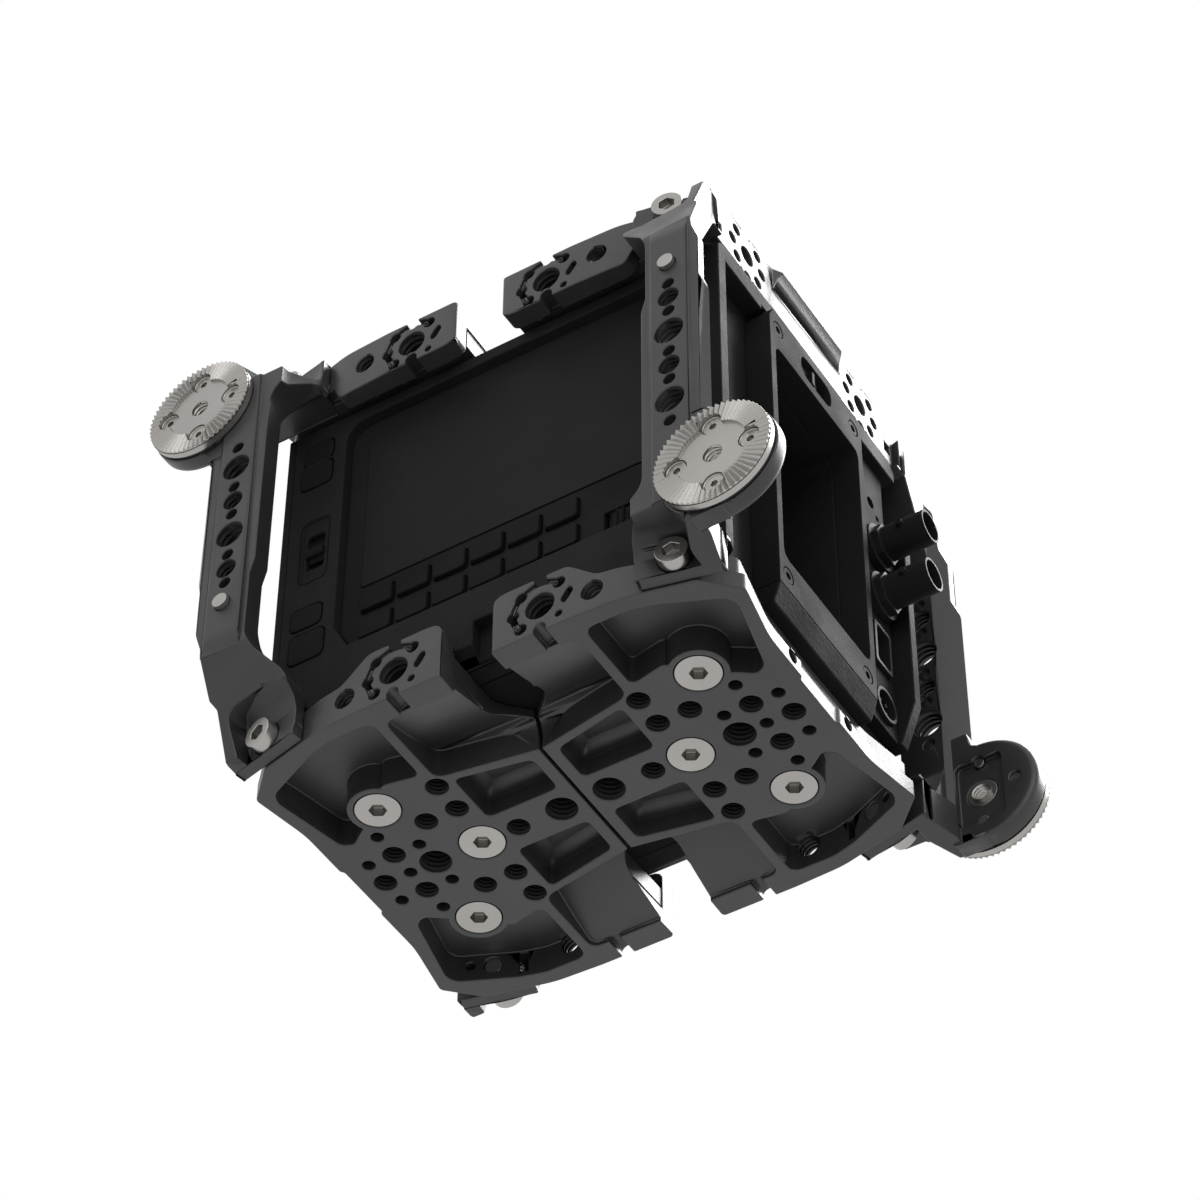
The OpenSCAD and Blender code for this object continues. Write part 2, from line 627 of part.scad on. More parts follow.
// Floor of the bowl: it rises from the foot plate to the bar, in shares of the foot's reach and the screw height.
bowl_floor_shares = [[0, -1, 0], [0, 1.7, 0], [0.08, 2.4, 0.08], [0.36, 3, 0.1], [0.6, 4.2, 0], [2, 4.2, 0], [2, -1, 0]];
// Holes along the bar, in shares of the pitch from the middle of its height.
bar_small_shares = [-4.375, -2.375, -1, 1, 2.375];
bar_quarter_shares = [-1.69, 1.69];
bar_wide_shares = [-3.375, 0];
bar_pin_share = 3.37;
pin_depth = 3;

function low_y(shares) = [for (s = shares) [bar_y + s[0] * bar_w, s[1] * foot_h, s[2] * foot_h]];
function high_y(shares) = [for (s = shares) [bar_y + s[0] * bar_w, cage_h - s[1] * foot_h, s[2] * foot_h]];
function low_x(shares) = [for (s = shares) [foot_x + s[0] * foot_w, s[1] * foot_h, s[2] * foot_h]];
function high_x(shares) = [for (s = shares) [foot_x + s[0] * foot_w, cage_h - s[1] * foot_h, s[2] * foot_h]];

module bar_blank() {
  intersection() {
    linear_extrude(cage_h) polygon([for (s = bar_section_shares) [bar_x + s[0] * bar_t, bar_y + s[1] * bar_w]]);
    along_x(0, bar_out + over)
      polygon(soft(concat(low_y(low_inner_shares), high_y(high_inner_shares), high_y(high_outer_shares),
        low_y(low_outer_shares))));
    along_y(0, 2 * rosette_y)
      polygon(soft(concat(low_x(low_reach_shares), high_x(high_reach_shares), [[bar_out, slab_z0, 0]])));
  }
}

// Everything on the camera's side of the facet plane, at foot height.
module facet_side() { translate([-bar_w * 2, -bar_w * 2, -over]) cube([bar_w * 2, bar_w * 4, slab_z1 + over]); }

module foot_plate() {
  block([0, -slab_in, slab_z0], [foot_t, slab_out, slab_z1]);
}
module foot_drill() {
  translate([0, 0, foot_z]) {
    rod_x(foot_screw_d + 2 * screw_gap, -over, 2 * foot_t);
    rod_x(foot_head_d + 2 * fit_gap, foot_t - foot_sink, 3 * foot_t);
  }
}

arm_set = 0.6;
arm_out = bar_out - arm_set;
arm_in = arm_out - arm_t;
arm_seat_t = 0.8;
arm_seat_step = 0.7;
arm_seat_r = rosette_r - arm_seat_step;
arm_round = 1.8;
arm_edge_round = 0.45;
arm_recess_d = 1.6;
arm_recess_w = 21;
arm_recess_h = 13;
arm_bottom = 0.2;
// Web between the bar's foot and the arm, in shares of the arm's radius from the rosette's middle.
web_shares = [[-0.53, -0.35, 0], [-0.53, -0.98, 0.1], [0, -0.98, 0], [0.3, 0, 0], [0, 0.95, 0],
  [-0.08, 1.02, 0], [-0.15, 1.28, 0], [-0.5, 1.28, 0], [-0.75, 0.3, 0]];

module at_rosette() { translate([0, rosette_y, rosette_z]) children(); }

module arm_blank() {
  at_rosette() translate([arm_in, 0, 0]) rotate([0, 90, 0]) rotate_extrude()
    polygon(soft([[0, 0, 0], [arm_r, 0, arm_round], [arm_r, arm_t, arm_edge_round], [arm_seat_r, arm_t, 0],
      [arm_seat_r, arm_t + arm_seat_t, 0], [0, arm_t + arm_seat_t, 0]]));
  at_rosette() along_x(arm_in, arm_out) polygon(soft(sized(web_shares, arm_r, arm_r, arm_r)));
}

module rosette_drill(d_screw, d_insert) {
  at_rosette() {
    rod_x(d_insert, arm_in - over, arm_out + 2 * rosette_t);
    for (a = [0 : 90 : 270]) rotate([a, 0, 0]) translate([0, rosette_screw_y, 0])
      rod_x(d_screw, arm_in - over, arm_out + 2 * rosette_t);
  }
}

module side_bar() {
  color(bar_color) difference() {
    union() {
      difference() {
        bar_blank();
        at_facet() {
          facet_side();
          translate([foot_t, 0, 0]) rotate([90, 0, 0]) linear_extrude(4 * bar_w, center = true)
            polygon(soft(sized(relief_shares, foot_w, foot_z, foot_w)));
        }
        translate([foot_x, bar_y, -over]) linear_extrude(foot_h)
          polygon([for (s = flare_shares) [s[0] * foot_w, s[1] * bar_w]]);
        to_top() at_facet() {
          facet_side();
          intersection() {
            translate([0, 0, foot_z]) along_x(foot_t, 2 * foot_w)
              polygon(soft(sized(bowl_shares, bowl_r, bowl_r, bowl_r)));
            translate([foot_t, 0, 0]) rotate([90, 0, 0]) linear_extrude(4 * bar_w, center = true)
              polygon(soft(sized(bowl_floor_shares, foot_w, foot_z, foot_w)));
          }
        }
      }
      at_facet() foot_plate();
      to_top() at_facet() foot_plate();
      translate([0, 0, slab_z0]) linear_extrude(slab_z1 - slab_z0)
        polygon(soft([for (s = fin_shares) [foot_x + s[0] * foot_w, bar_y + s[1] * bar_w, s[2] * foot_w]]));
      arm_blank();
    }
    at_facet() foot_drill();
    to_top() at_facet() foot_drill();
    for (s = bar_small_shares) bar_hole(s, small_d);
    for (s = bar_quarter_shares) bar_hole(s, quarter_d);
    for (s = bar_wide_shares) bar_hole(s, three_eighths_d);
    translate([0, hole_y, cage_h / 2 + pitch * bar_pin_share])
      rod_x(pin_d + 2 * screw_gap, bar_out - pin_depth, bar_out + over);
    rosette_drill(rosette_screw_d + 2 * screw_gap, insert_d + 2 * screw_gap);
    at_rosette() along_x(arm_in - over, arm_in + arm_recess_d)
      polygon(soft(box_pts(arm_recess_h, arm_recess_w, arm_recess_d)));
    block([arm_in - over, bar_y, -arm_r], [arm_out + over, rosette_y + arm_r, arm_bottom]);
  }
}
module bar_hole(s, d) { translate([0, hole_y, cage_h / 2 + pitch * s]) rod_x(d, bar_x - over, bar_out + over); }

module bar_pin() {
  translate([0, hole_y, cage_h / 2 + pitch * bar_pin_share]) rod_x(pin_d, bar_out - pin_depth, bar_out + pin_rise);
}

// Puts a piece drawn at the front right, low, to each of its four places.
module at_rear_left() { mirror([1, 0, 0]) mirror([0, 1, 0]) children(); }
module at_rear_right() { mirror([0, 1, 0]) children(); }
module at_front_left() { mirror([1, 0, 0]) to_top() children(); }
module at_front_right() { to_top() children(); }
module at_all_four() {
  at_rear_left() children();
  at_rear_right() children();
  at_front_left() children();
  at_front_right() children();
}

module side_bar_rear_left() { at_rear_left() side_bar(); }
module side_bar_rear_right() { at_rear_right() side_bar(); }
module side_bar_front_left() { at_front_left() side_bar(); }
module side_bar_front_right() { at_front_right() side_bar(); }
module bar_pins() { color(steel_color) at_all_four() bar_pin(); }

// Rosettes

rosette_in = arm_out + arm_seat_t;
rosette_out = rosette_in + rosette_t;
hub_sink = tooth_d + screw_gap;
head_sink_d = rosette_head_d + 2 * run_gap;
rosette_hex_d = 2.1;
// Cone height of a rosette screw's head.
head_cone = (rosette_head_d - rosette_screw_d) / 2;
head_sink = 0.55;
head_top = rosette_out - hub_sink - head_sink;
// Teeth: a ring whose top runs up and down; a tooth's height grows with its distance from the centre.
ring_r = rosette_r - screw_gap;
ring_low = rosette_out - hub_sink - tooth_d;
function tooth_x(k, r) = rosette_out - (k % 2) * tooth_d * r / ring_r;
function ring_point(k, r, x) = [x, r * cos(k * 180 / tooth_n), r * sin(k * 180 / tooth_n)];
function tooth_ring_points() = [for (k = [0 : 2 * tooth_n - 1])
  each [ring_point(k, ring_r, tooth_x(k, ring_r)), ring_point(k, hub_r, tooth_x(k, hub_r)),
    ring_point(k, hub_r, ring_low), ring_point(k, ring_r, ring_low)]];
// Each quarter of the ring's section is a strip of quads from one spoke to the next, split on the ridge.
ring_corners = 4;
function tooth_ring_faces() = let (n = 2 * ring_corners * tooth_n)
  [for (k = [0 : 2 * tooth_n - 1]) for (j = [0 : ring_corners - 1])
    let (near = ring_corners * k, next = ring_corners * (k + 1), up = (j + 1) % ring_corners)
    let (a = near + j, b = near + up, c = (next + up) % n, d = (next + j) % n)
    each [[a, b, c], [a, c, d]]];

module rosette() {
  color(steel_color) difference() {
    at_rosette() {
      difference() {
        union() {
          rod_x(2 * rosette_r, rosette_in, rosette_out - hub_sink);
          polyhedron(tooth_ring_points(), tooth_ring_faces());
        }
        for (a = [0 : 90 : 270]) rotate([a, 0, 0]) translate([0, rosette_screw_y, 0]) {
          rod_x(head_sink_d, head_top, rosette_out + over);
          translate([head_top, 0, 0]) rotate([0, -90, 0])
            cylinder(d1 = head_sink_d, d2 = rosette_screw_d + 2 * run_gap, h = head_cone);
        }
      }
    }
    rosette_drill(rosette_screw_d + 2 * run_gap, insert_bore_d);
  }
}
module rosette_screw() {
  rotate([0, -90, 0]) {
    difference() {
      union() {
        cylinder(d1 = rosette_head_d, d2 = rosette_screw_d, h = head_cone);
        cylinder(d = rosette_screw_d, h = head_top - arm_in - arm_recess_d / 2);
      }
      translate([0, 0, -over]) cylinder(d = rosette_hex_d, h = over + head_cone, $fn = 6);
    }
  }
}
module rosette_insert() {
  at_rosette() difference() {
    rod_x(insert_d, arm_in + arm_recess_d, rosette_in - screw_gap);
    rod_x(insert_bore_d, arm_in, rosette_out + over);
  }
}

module rosette_rear_left() { at_rear_left() rosette(); }
module rosette_rear_right() { at_rear_right() rosette(); }
module rosette_front_left() { at_front_left() rosette(); }
module rosette_front_right() { at_front_right() rosette(); }
module rosette_screws() {
  color(steel_color) at_all_four() at_rosette()
    for (a = [0 : 90 : 270]) rotate([a, 0, 0]) translate([head_top, rosette_screw_y, 0]) rosette_screw();
}
module rosette_inserts() { color(steel_color) at_all_four() rosette_insert(); }

// Camera casing

cam_z0 = plate_t + seat_gap;
cam_z1 = cage_h - plate_t - seat_gap;
cam_half_w = plate_half_w - side_wall_t - cam_side_gap;
jack_x = cam_half_w - jack_side;
frame_z1 = cam_z1 - frame_drop;
bay_z1 = frame_z1 - bay_drop;
shell_front = cam_front - front_cover_t;
shell_z0 = cam_z0 + base_cover_t;
floor_z = shell_z0 + floor_t;
roof_z = cam_z1 - roof_t;
top_chamfer = 2.9;
low_chamfer_w = 4.8;
low_chamfer_h = 3.5;
base_cover_l = 112;
// Small step used round the trim of the casing.
trim_step = 3.4;
channel_x = 36;
channel_shares = [[0, 0], [0, 1], [0.34, 1], [0.46, 0.62], [0.66, 0.25], [1, 0]];
channel_z1 = cam_z1 - 2 * trim_step;
wing_w = 3.5;
wing_shares = [[0, 1.06], [0.35, 1.02], [1, 0.9], [1, 0.16], [0.52, 0], [0, 0]];
wing_z0 = 21.8;
wing_h = 82;
finger_y = [-9, 3.6];
finger_h = 11.5;
finger_d = 4;
wall_in = cam_half_w - cam_wall;
screw_bore_d = plate_screw_d + 2 * screw_gap;

module casing_section() {
  polygon([[cam_half_w - low_chamfer_w, cam_z0], [cam_half_w, cam_z0 + low_chamfer_h],
    [cam_half_w, cam_z1 - top_chamfer], [cam_half_w - top_chamfer, cam_z1],
    [top_chamfer - cam_half_w, cam_z1], [-cam_half_w, cam_z1 - top_chamfer],
    [-cam_half_w, cam_z0 + low_chamfer_h], [low_chamfer_w - cam_half_w, cam_z0]]);
}

module casing_blank() {
  intersection() {
    along_y(-wing_rear, shell_front) casing_section();
    union() {
      block([-cam_half_w, -cam_rear, cam_z0], [cam_half_w, shell_front, cam_z1]);
      block([-cam_half_w, -lip_rear, channel_z1], [cam_half_w, -cam_rear + over, cam_z1]);
      translate([0, 0, cam_z0]) linear_extrude(channel_z1 - cam_z0 + over) polygon([for (s = channel_shares)
        [-cam_half_w + s[0] * (cam_half_w - channel_x), -cam_rear + over - s[1] * (lip_rear - cam_rear + over)]]);
      along_x(cam_half_w - wing_w, cam_half_w) polygon([for (s = wing_shares)
        [-cam_rear + over - s[0] * (wing_rear - cam_rear + over), wing_z0 + s[1] * wing_h]]);
      along_x(-frame_half_w, frame_half_w) polygon([[-cam_rear + over, cam_z0], [-lip_rear, cam_z0],
        [-frame_rear, frame_z0], [-cam_rear + over, frame_z0]]);
    }
  }
}

// Left control recess, in Y and Z.
recess_front = 46.5;
recess_rear = -56;
recess_z0 = 36;
recess_z1 = cam_z1 - 2 * trim_step;
recess_round = 7;
recess_cut = 4.5;
function recess_pts(grow) = [
  [recess_rear - grow, recess_z0 - grow, recess_cut], [recess_front - recess_cut, recess_z0 - grow, 0],
  [recess_front + grow, recess_z0 + 2 * recess_cut, 0], [recess_front + grow, recess_z1 + grow, recess_round],
  [recess_rear - grow, recess_z1 + grow, recess_round]];
panel_face = -(cam_half_w - recess_d);
panel_back = panel_face + control_t;

key_row_n = 6;
key_y = -20.3;
upper_button_drops = [12.4, 21.3];
button_places = [[55.2, cam_z1 - upper_button_drops[0]], [55.4, cam_z1 - upper_button_drops[1]],
  [55.3, 53], [54.7, 42.1]];
button_sizes = [[9, 7.5], [9.5, 9], [9.3, 7.6], [10.5, 10.2]];
button_round = 2.2;
button_t = 2.5;
button_rise = 0.2;
button_pocket = button_t + key_travel + run_gap;
switch_y = 54.45;
switch_set = 2.5;
switch_z = (button_places[1][1] + button_places[2][1]) / 2 - switch_set;
switch_w = 5.5;
switch_h = 12.9;
switch_nub_h = 6.6;
switch_depth = 2.6;
switch_dish_shares = [1.6, 1.8];
wheel_y = -37.2;
wheel_z = 42;
wheel_h = 6;
wheel_proud = 0.7;
wheel_x = panel_face - wheel_proud + wheel_r;
axle_d = 2;
// The window clears the wheel where it passes the back of the panel.
wheel_window_w = 2 * sqrt(pow(wheel_r, 2) - pow(wheel_x - panel_back, 2)) + 2 * run_gap;
wheel_window_h = wheel_h + 4 * run_gap;
wheel_box = 8;

module rear_wall_holes() {
  block([-bay_half_w - bay_wall - fit_gap, -cam_rear - over, bay_z0 - bay_wall - fit_gap],
    [bay_half_w + bay_wall + fit_gap, -cam_rear + rear_wall + over, bay_z1 + bay_wall + fit_gap]);
  for (k = [0, 1]) translate([jack_x, 0, jack_z - k * jack_pitch])
    rod_y(jack_shank_d + 2 * fit_gap, -cam_rear - over, -cam_rear + rear_wall + over);
  frame_screw_places() rod_y(frame_screw_d + 2 * screw_gap, -cam_rear - over, -cam_rear + rear_wall);
}

module wheel_bearing() {
  block([-wall_in - over, wheel_y - wheel_box, wheel_z - wheel_h / 2 - wheel_box / 2],
    [wheel_x + wheel_box, wheel_y + wheel_box, wheel_z + wheel_h / 2 + wheel_box / 2]);
}
module wheel_room() {
  translate([wheel_x, wheel_y, wheel_z - wheel_h / 2 - run_gap])
    cylinder(r = wheel_r + run_gap, h = wheel_h + 2 * run_gap);
  block([-cam_half_w, wheel_y - wheel_window_w / 2, wheel_z - wheel_window_h / 2],
    [wheel_x, wheel_y + wheel_window_w / 2, wheel_z + wheel_window_h / 2]);
  translate([wheel_x, wheel_y, wheel_z - wheel_box]) cylinder(d = axle_d + 2 * screw_gap, h = axle_l());
}
function axle_l() = wheel_h / 2 + wheel_box + wheel_box / 4 + wheel_h / 2;

module plate_screw_bores(z0, z1) {
  for (m = [-1, 1]) for (s = plate_screw_shares)
    translate([pitch * s[0], m * (lattice_y + pitch * s[1]), z0]) cylinder(d = screw_bore_d, h = z1 - z0);
}

module body_shell() {
  color(casing_color) difference() {
    union() {
      difference() {
        casing_blank();
        block([-wall_in, -cam_rear + rear_wall, floor_z], [wall_in, shell_front + over, roof_z]);
      }
      wheel_bearing();
    }
    block([-base_cover_half_w - fit_gap, -base_cover_l / 2 - fit_gap, cam_z0 - over],
      [base_cover_half_w + fit_gap, base_cover_l / 2 + fit_gap, shell_z0]);
    block([-frame_half_w - fit_gap, -wing_rear - over, frame_z0],
      [frame_half_w + fit_gap, -cam_rear, frame_z1 + fit_gap]);
    rear_wall_holes();
    plate_screw_bores(shell_z0 - over, floor_z + over);
    plate_screw_bores(roof_z - over, cam_z1 + over);
    along_x(-cam_half_w - over, panel_back) polygon(soft(recess_pts(0)));
    wheel_room();
    for (k = [0 : len(button_places) - 1]) translate([0, button_places[k][0], button_places[k][1]])
      along_x(-cam_half_w - over, -cam_half_w + button_pocket)
        polygon(soft(box_pts(button_sizes[k][0] + 2 * run_gap, button_sizes[k][1] + 2 * run_gap, button_round)));
    translate([0, switch_y, switch_z]) {
      along_x(-cam_half_w - over, -cam_half_w + switch_depth)
        polygon(soft(box_pts(switch_w, switch_h, button_round / 2)));
      along_x(-cam_half_w - over, -cam_half_w + switch_depth / 5)
        polygon(soft(box_pts(switch_w * switch_dish_shares[0], switch_h * switch_dish_shares[1], button_round)));
    }
    block([-cam_half_w - over, finger_y[0], cam_z0 - over],
      [-cam_half_w + finger_d, finger_y[1], cam_z0 + finger_h]);
    side_vents();
  }
}

// Slotted vent on the right side.
vent_n = 9;
vent_pitch = 6;
vent_w = 2.6;
vent_l = 44;
vent_d = 3;
module side_vents() {
  for (k = [0 : vent_n - 1]) translate([0, 0, cage_h / 2 + (k - (vent_n - 1) / 2) * vent_pitch])
    along_x(cam_half_w - vent_d, cam_half_w + over)
      polygon(soft(box_pts(vent_l, vent_w, vent_w * full_round_share)));
}

throat_r = 24;
mount_r = 32;
mount_t = 4.6;
mount_step = 1.4;
mount_seat_r = 27;
module front_cover() {
  color(casing_color) difference() {
    along_y(shell_front, cam_front) casing_section();
    translate([0, 0, cage_h / 2]) rod_y(2 * (mount_seat_r + fit_gap), shell_front - over, cam_front + over);
  }
}
module lens_mount() {
  color(steel_color) translate([0, cam_front, cage_h / 2]) rotate([-90, 0, 0]) {
    difference() {
      union() {
        cylinder(r = mount_r, h = mount_t - mount_step);
        cylinder(r = mount_r - mount_step, h = mount_t);
        translate([0, 0, -front_cover_t - mount_t]) cylinder(r = mount_seat_r, h = front_cover_t + mount_t + over);
      }
      translate([0, 0, -front_cover_t - mount_t - over])
        cylinder(r = throat_r, h = front_cover_t + 2 * mount_t + 2 * over);
      for (a = [45 : 90 : 315]) rotate([0, 0, a]) translate([(mount_r + mount_seat_r) / 2, 0, mount_t / 2])
        cylinder(d = rosette_screw_d, h = mount_t);
    }
  }
}

sensor_w = 52;
sensor_h = 44;
sensor_t = 5;
sensor_y = 44;
sensor_post_d = 5;
sensor_face_w = 28;
sensor_face_h = 16;
module sensor_module() {
  color(board_color) translate([0, 0, cage_h / 2]) {
    difference() {
      translate([-sensor_w / 2, sensor_y, -sensor_h / 2]) cube([sensor_w, sensor_t, sensor_h]);
      translate([-sensor_face_w / 2, sensor_y + sensor_t - over, -sensor_face_h / 2])
        cube([sensor_face_w, 2 * over, sensor_face_h]);
    }
    for (x = [-1, 1]) for (z = [-1, 1])
      translate([x * (sensor_w - sensor_post_d) / 2, 0, z * (sensor_h - sensor_post_d) / 2])
        rod_y(sensor_post_d, sensor_y + sensor_t, shell_front);
  }
}

board_side_gap = 5.3;
board_w = 2 * (wall_in - board_side_gap);
board_l = 64;
board_t = 1.6;
board_rise = 5;
board_post_d = 6;
board_chip = 16;
module main_board() {
  color(board_color) translate([0, 0, floor_z]) {
    translate([-board_w / 2, -board_l / 2, board_rise]) cube([board_w, board_l, board_t]);
    translate([-board_chip / 2, -board_chip / 2, board_rise + board_t]) cube([board_chip, board_chip, board_t]);
    for (x = [-1, 1]) for (y = [-1, 1])
      translate([x * (board_w - board_post_d) / 2, y * (board_l - board_post_d) / 2, 0])
        cylinder(d = board_post_d, h = board_rise);
  }
}

module base_cover() {
  color(trim_color) difference() {
    block([-base_cover_half_w, -base_cover_l / 2, cam_z0], [base_cover_half_w, base_cover_l / 2, shell_z0]);
    plate_screw_bores(cam_z0 - over, shell_z0 + over);
  }
}

// Rear

frame_screw_d = 2.5;
frame_head_d = 4.6;
frame_screw_x = 20;
frame_screw_z0 = 24.3;
frame_screw_drop = 6.2;
frame_screw_z1 = frame_z1 - frame_screw_drop;
frame_corner = 4;
bay_corner = 3;
frame_head_h = 1.6;
frame_hex_depth = 1.3;
latch_z = (frame_z1 + bay_z1) / 2;
latch_x = -1.2;
latch_w = 8.6;
latch_floor = 3.4;
module frame_screw_places() {
  for (x = [-1, 1]) for (z = [frame_screw_z0, frame_screw_z1]) translate([x * frame_screw_x, 0, z]) children();
}
module battery_frame() {
  mid_z = (frame_z0 + frame_z1) / 2;
  color(trim_color) difference() {
    translate([0, 0, mid_z]) along_y(-frame_rear, -cam_rear) polygon([
      [-frame_half_w, frame_z0 - mid_z], [frame_half_w, frame_z0 - mid_z],
      [frame_half_w, frame_z1 - mid_z - frame_corner], [frame_half_w - frame_corner / 2, frame_z1 - mid_z],
      [frame_corner / 2 - frame_half_w, frame_z1 - mid_z], [-frame_half_w, frame_z1 - mid_z - frame_corner]]);
    translate([0, 0, (bay_z0 + bay_z1) / 2]) along_y(-frame_rear - over, -cam_rear + over)
      polygon(soft(box_pts(2 * bay_half_w, bay_z1 - bay_z0, bay_corner)));
    translate([0, 0, latch_z]) along_y(-frame_rear - over, -frame_rear + latch_floor)
      polygon(soft(box_pts(latch_window_w, latch_window_h, latch_window_h * full_round_share)));
    frame_screw_places() {
      rod_y(frame_screw_d + 2 * run_gap, -frame_rear - over, -cam_rear + over);
      rod_y(frame_head_d + 2 * fit_gap, -frame_rear - over, -frame_rear + frame_head_h);
    }
  }
}
module frame_screws() {
  color(trim_color) frame_screw_places() difference() {
    union() {
      rod_y(frame_head_d, -frame_rear + fit_gap, -frame_rear + frame_head_h);
      rod_y(frame_screw_d, -frame_rear + frame_head_h, -cam_rear + rear_wall - over);
    }
    translate([0, -frame_rear + frame_hex_depth, 0]) rotate([90, 0, 0])
      cylinder(d = frame_head_d / 2, h = 2 * over, $fn = 6);
  }
}
module battery_well() {
  well_depth = bay_d - (frame_rear - cam_rear);
  color(casing_color) difference() {
    translate([0, 0, (bay_z0 + bay_z1) / 2]) along_y(-cam_rear, -cam_rear + well_depth + bay_wall)
      polygon(soft(box_pts(2 * bay_half_w + 2 * bay_wall, bay_z1 - bay_z0 + 2 * bay_wall, bay_wall)));
    translate([0, 0, (bay_z0 + bay_z1) / 2]) along_y(-cam_rear - over, -cam_rear + well_depth)
      polygon(soft(box_pts(2 * bay_half_w, bay_z1 - bay_z0, bay_corner)));
  }
}
contact_n = 5;
contact_pitch = 4;
contact_w = 1.6;
contact_h = 9;
contact_t = 1.6;
contact_z = 48;
module battery_contacts() {
  well_y = -frame_rear + bay_d;
  color(contact_color) {
    block([-contact_n * contact_pitch / 2, well_y - contact_t, contact_z],
      [contact_n * contact_pitch / 2, well_y, contact_z + contact_h]);
    for (k = [0 : contact_n - 1]) translate([(k - (contact_n - 1) / 2) * contact_pitch, 0, 0])
      block([-contact_w / 2, well_y - 2 * contact_t, contact_z + contact_t],
        [contact_w / 2, well_y - contact_t, contact_z + contact_h - contact_t]);
  }
}
module battery_latch() {
  rib_w = latch_w / 6;
  color(key_color) translate([latch_x, 0, latch_z]) {
    h = latch_window_h - 2 * run_gap;
    face = -frame_rear + latch_floor / 2;
    along_y(face, -frame_rear + latch_floor - run_gap) polygon(soft(box_pts(latch_w, h, h / 4)));
    block([-rib_w / 2, -frame_rear + fit_gap, -h / 3], [rib_w / 2, face + over / 2, h / 3]);
  }
}

jack_shank_d = 11;
jack_flange_t = 2.4;
lug_d = 1.9;
lug_l = 1.2;
// Places along a jack, in shares of its length from the panel.
lug_share = 0.62;
core_share = 0.7;
pin_share = 0.85;
jack_pin_d = 1.6;
collar_d = 12.4;
collar_t = 2.2;
module jack() {
  face = -panel_rear;
  end = face - jack_l;
  difference() {
    union() {
      rod_y(jack_flange_d, face - jack_flange_t, face);
      translate([0, face - jack_flange_t + fit_gap, 0]) rotate([90, 0, 0])
        cylinder(d = collar_d, h = collar_t, $fn = 6);
      rod_y(jack_d, end, face);
      rod_y(jack_shank_d, face, -cam_rear + rear_wall);
      translate([0, face - jack_l * lug_share, 0]) rotate([0, 90, 0])
        cylinder(d = lug_d, h = jack_d + 2 * lug_l, center = true);
    }
    rod_y(jack_bore_d, end - over, face + over);
  }
  rod_y(jack_d / 2, face - jack_l * core_share, face + over);
  rod_y(jack_pin_d, face - jack_l * pin_share, face + over);
}
module video_jack_upper() { color(trim_color) translate([jack_x, 0, jack_z]) jack(); }
module video_jack_lower() { color(trim_color) translate([jack_x, 0, jack_z - jack_pitch]) jack(); }

socket_x0 = 24.8;
socket_z0 = 21.8;
socket_drop = 7.8;
socket_z1 = cam_z1 - socket_drop;
port_z = 50;
port_w = 9;
port_h = 15;
port_wall = 1.2;
power_z = 29.5;
power_d = 10.5;
power_bore_d = 8.5;
power_pin_d = 1.2;
latch_hole_drop = 15;
latch_hole_z = socket_z1 - latch_hole_drop;
guide_hole_d = 1.6;
guide_hole_x = 3.4;
latch_hole_d = 3.4;
module connector_panel() {
  color(trim_color) difference() {
    block([socket_x0, -panel_rear, socket_z0], [cam_half_w - wing_w - fit_gap, -cam_rear, socket_z1]);
    for (k = [0, 1]) translate([jack_x, 0, jack_z - k * jack_pitch])
      rod_y(jack_shank_d + 2 * fit_gap, -panel_rear - over, -cam_rear + over);
    translate([jack_x, 0, port_z]) along_y(-panel_rear - over, -cam_rear + over)
      polygon(soft(box_pts(port_w + 2 * fit_gap, port_h + 2 * fit_gap, port_wall)));
    translate([jack_x, 0, power_z]) rod_y(power_d + 2 * fit_gap, -panel_rear - over, -cam_rear + over);
    translate([jack_x, 0, latch_hole_z]) {
      rod_y(latch_hole_d, -panel_rear - over, -cam_rear + over);
      translate([guide_hole_x, 0, -guide_hole_x]) rod_y(guide_hole_d, -panel_rear - over, -cam_rear + over);
    }
  }
}
module data_port() {
  color(casing_color) translate([jack_x, 0, port_z]) difference() {
    along_y(-panel_rear - port_wall, -cam_rear) polygon(soft(box_pts(port_w, port_h, port_wall)));
    along_y(-panel_rear - 2 * port_wall, -cam_rear - port_wall)
      polygon(soft(box_pts(port_w - 2 * port_wall, port_h - 2 * port_wall, port_wall)));
  }
}
module power_socket() {
  color(casing_color) translate([jack_x, 0, power_z]) {
    difference() {
      rod_y(power_d, -panel_rear - port_wall, -cam_rear);
      rod_y(power_bore_d, -panel_rear - 2 * port_wall, -cam_rear - port_wall);
    }
    for (a = [45 : 90 : 315]) rotate([0, a, 0]) translate([power_bore_d / 4, 0, 0])
      rod_y(power_pin_d, -panel_rear, -cam_rear - port_wall / 2);
  }
}

// Controls on the left side

glass_t = 1.3;
glass_rise = 0.3;
glass_rear = -50;
glass_front = 40.6;
glass_z0 = 58.5;
glass_drop = 7.2;
glass_z1 = recess_z1 - glass_drop;
glass_round = 1;
function glass_pts(grow) = [
  [glass_rear - grow, glass_z0 - grow, glass_round], [glass_front + grow, glass_z0 - grow, glass_round],
  [glass_front + grow, glass_z1 + grow, glass_round], [glass_rear - grow, glass_z1 + grow, glass_round]];
key_back = 1;
key_round = 1.2;

